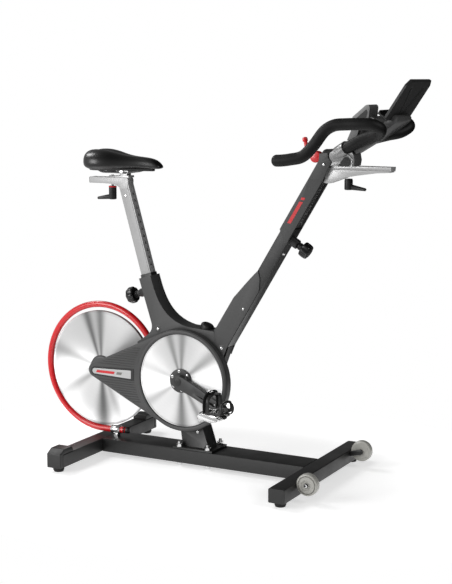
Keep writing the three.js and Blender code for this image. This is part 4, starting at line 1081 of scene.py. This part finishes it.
FLOOR_REACH = (1.05, 0.8)
floor_mat = Shader("pale_floor", (0.8, 0.8, 0.8, 1), 0.95, Specular_IOR_Level=0.1)
floor_mat.bsdf.inputs["Emission Color"].default_value = (1, 1, 1, 1)
split = floor_mat.node("ShaderNodeSeparateXYZ")
floor_mat.link(floor_mat.coord, split.inputs[0])
across = floor_mat.math("DIVIDE", split.outputs["X"], FLOOR_REACH[0])
along = floor_mat.math("DIVIDE", split.outputs["Y"], FLOOR_REACH[1])
reach = floor_mat.math("SQRT", floor_mat.math("ADD", floor_mat.math("MULTIPLY", across, across),
                                              floor_mat.math("MULTIPLY", along, along)))
glow = floor_mat.node("ShaderNodeMapRange", interpolation_type="SMOOTHSTEP")
floor_mat.link(reach, glow.inputs["Value"])
set_range(glow, (0.45, 0.92), (0.56, 1.02))
floor_mat.link(glow.outputs[0], floor_mat.bsdf.inputs["Emission Strength"])
bm = bmesh.new()
bm.faces.new([bm.verts.new((x, y, 0)) for x, y in circle(FLOOR_REACH[0], 96, FLOOR_REACH[1])])
mesh = bpy.data.meshes.new("floor")
bm.to_mesh(mesh)
bm.free()
mesh.shade_smooth()
floor = bpy.data.objects.new("floor", mesh)
bpy.context.scene.collection.objects.link(floor)
mesh.materials.append(floor_mat.mat)


def area_light(name, at, toward, size, power):
    light = bpy.data.lights.new(name, "AREA")
    light.energy = power
    light.size = size[0]
    light.shape = "RECTANGLE"
    light.size_y = size[1]
    lamp = bpy.data.objects.new(name, light)
    lamp.location = at
    lamp.rotation_euler = (Vector(toward) - Vector(at)).to_track_quat("-Z", "Y").to_euler()
    bpy.context.scene.collection.objects.link(lamp)


area_light("key", (-2.3, -3.5, 1.6), (-0.1, 0, 0.5), (1.7, 2.4), 88)
area_light("top_left", (-2.4, 0.2, 3.0), (0, 0, 0.6), (1.0, 1.0), 34)
area_light("right_edge", (3.3, -0.5, 2.5), (-0.2, 0, 0.7), (0.8, 1.6), 30)

world = bpy.data.worlds.new("studio")
bpy.context.scene.world = world
world.use_nodes = True
tree = world.node_tree
background = tree.nodes["Background"]
background.inputs["Color"].default_value = (1, 1, 1, 1)


# The room is bright at the left and behind the camera, and dark towards the front right and overhead.
coord = new_node(tree, "ShaderNodeTexCoord")
lean = new_node(tree, "ShaderNodeVectorMath", operation="DOT_PRODUCT")
tree.links.new(coord.outputs["Generated"], lean.inputs[0])
lean.inputs[1].default_value = (-0.62, -0.45, -0.35)
ramp = new_node(tree, "ShaderNodeMapRange")
tree.links.new(lean.outputs["Value"], ramp.inputs["Value"])
set_range(ramp, (-0.45, 0.75), (0.03, 0.75))
path = new_node(tree, "ShaderNodeLightPath")
mix = new_node(tree, "ShaderNodeMix", data_type="FLOAT")
tree.links.new(path.outputs["Is Camera Ray"], mix.inputs["Factor"])
tree.links.new(ramp.outputs[0], mix.inputs["A"])
mix.inputs["B"].default_value = 1.0
tree.links.new(mix.outputs["Result"], background.inputs["Strength"])

camera_data = bpy.data.cameras.new("camera")
# Solved from corners of the base in the photograph.
CAMERA_YAW, CAMERA_PITCH = 27.763, 8.882
camera_data.lens = 84.27
camera_data.sensor_width = 36
camera_data.clip_end = 200
camera = bpy.data.objects.new("camera", camera_data)
camera.location = V(1842, -3472, 1152)
yaw, pitch = math.radians(CAMERA_YAW), math.radians(CAMERA_PITCH)
forward = Vector((-math.sin(yaw) * math.cos(pitch), math.cos(yaw) * math.cos(pitch), -math.sin(pitch)))
camera.rotation_euler = forward.to_track_quat("-Z", "Y").to_euler()
bpy.context.scene.collection.objects.link(camera)
bpy.context.scene.camera = camera
bpy.context.scene.view_settings.view_transform = "Standard"
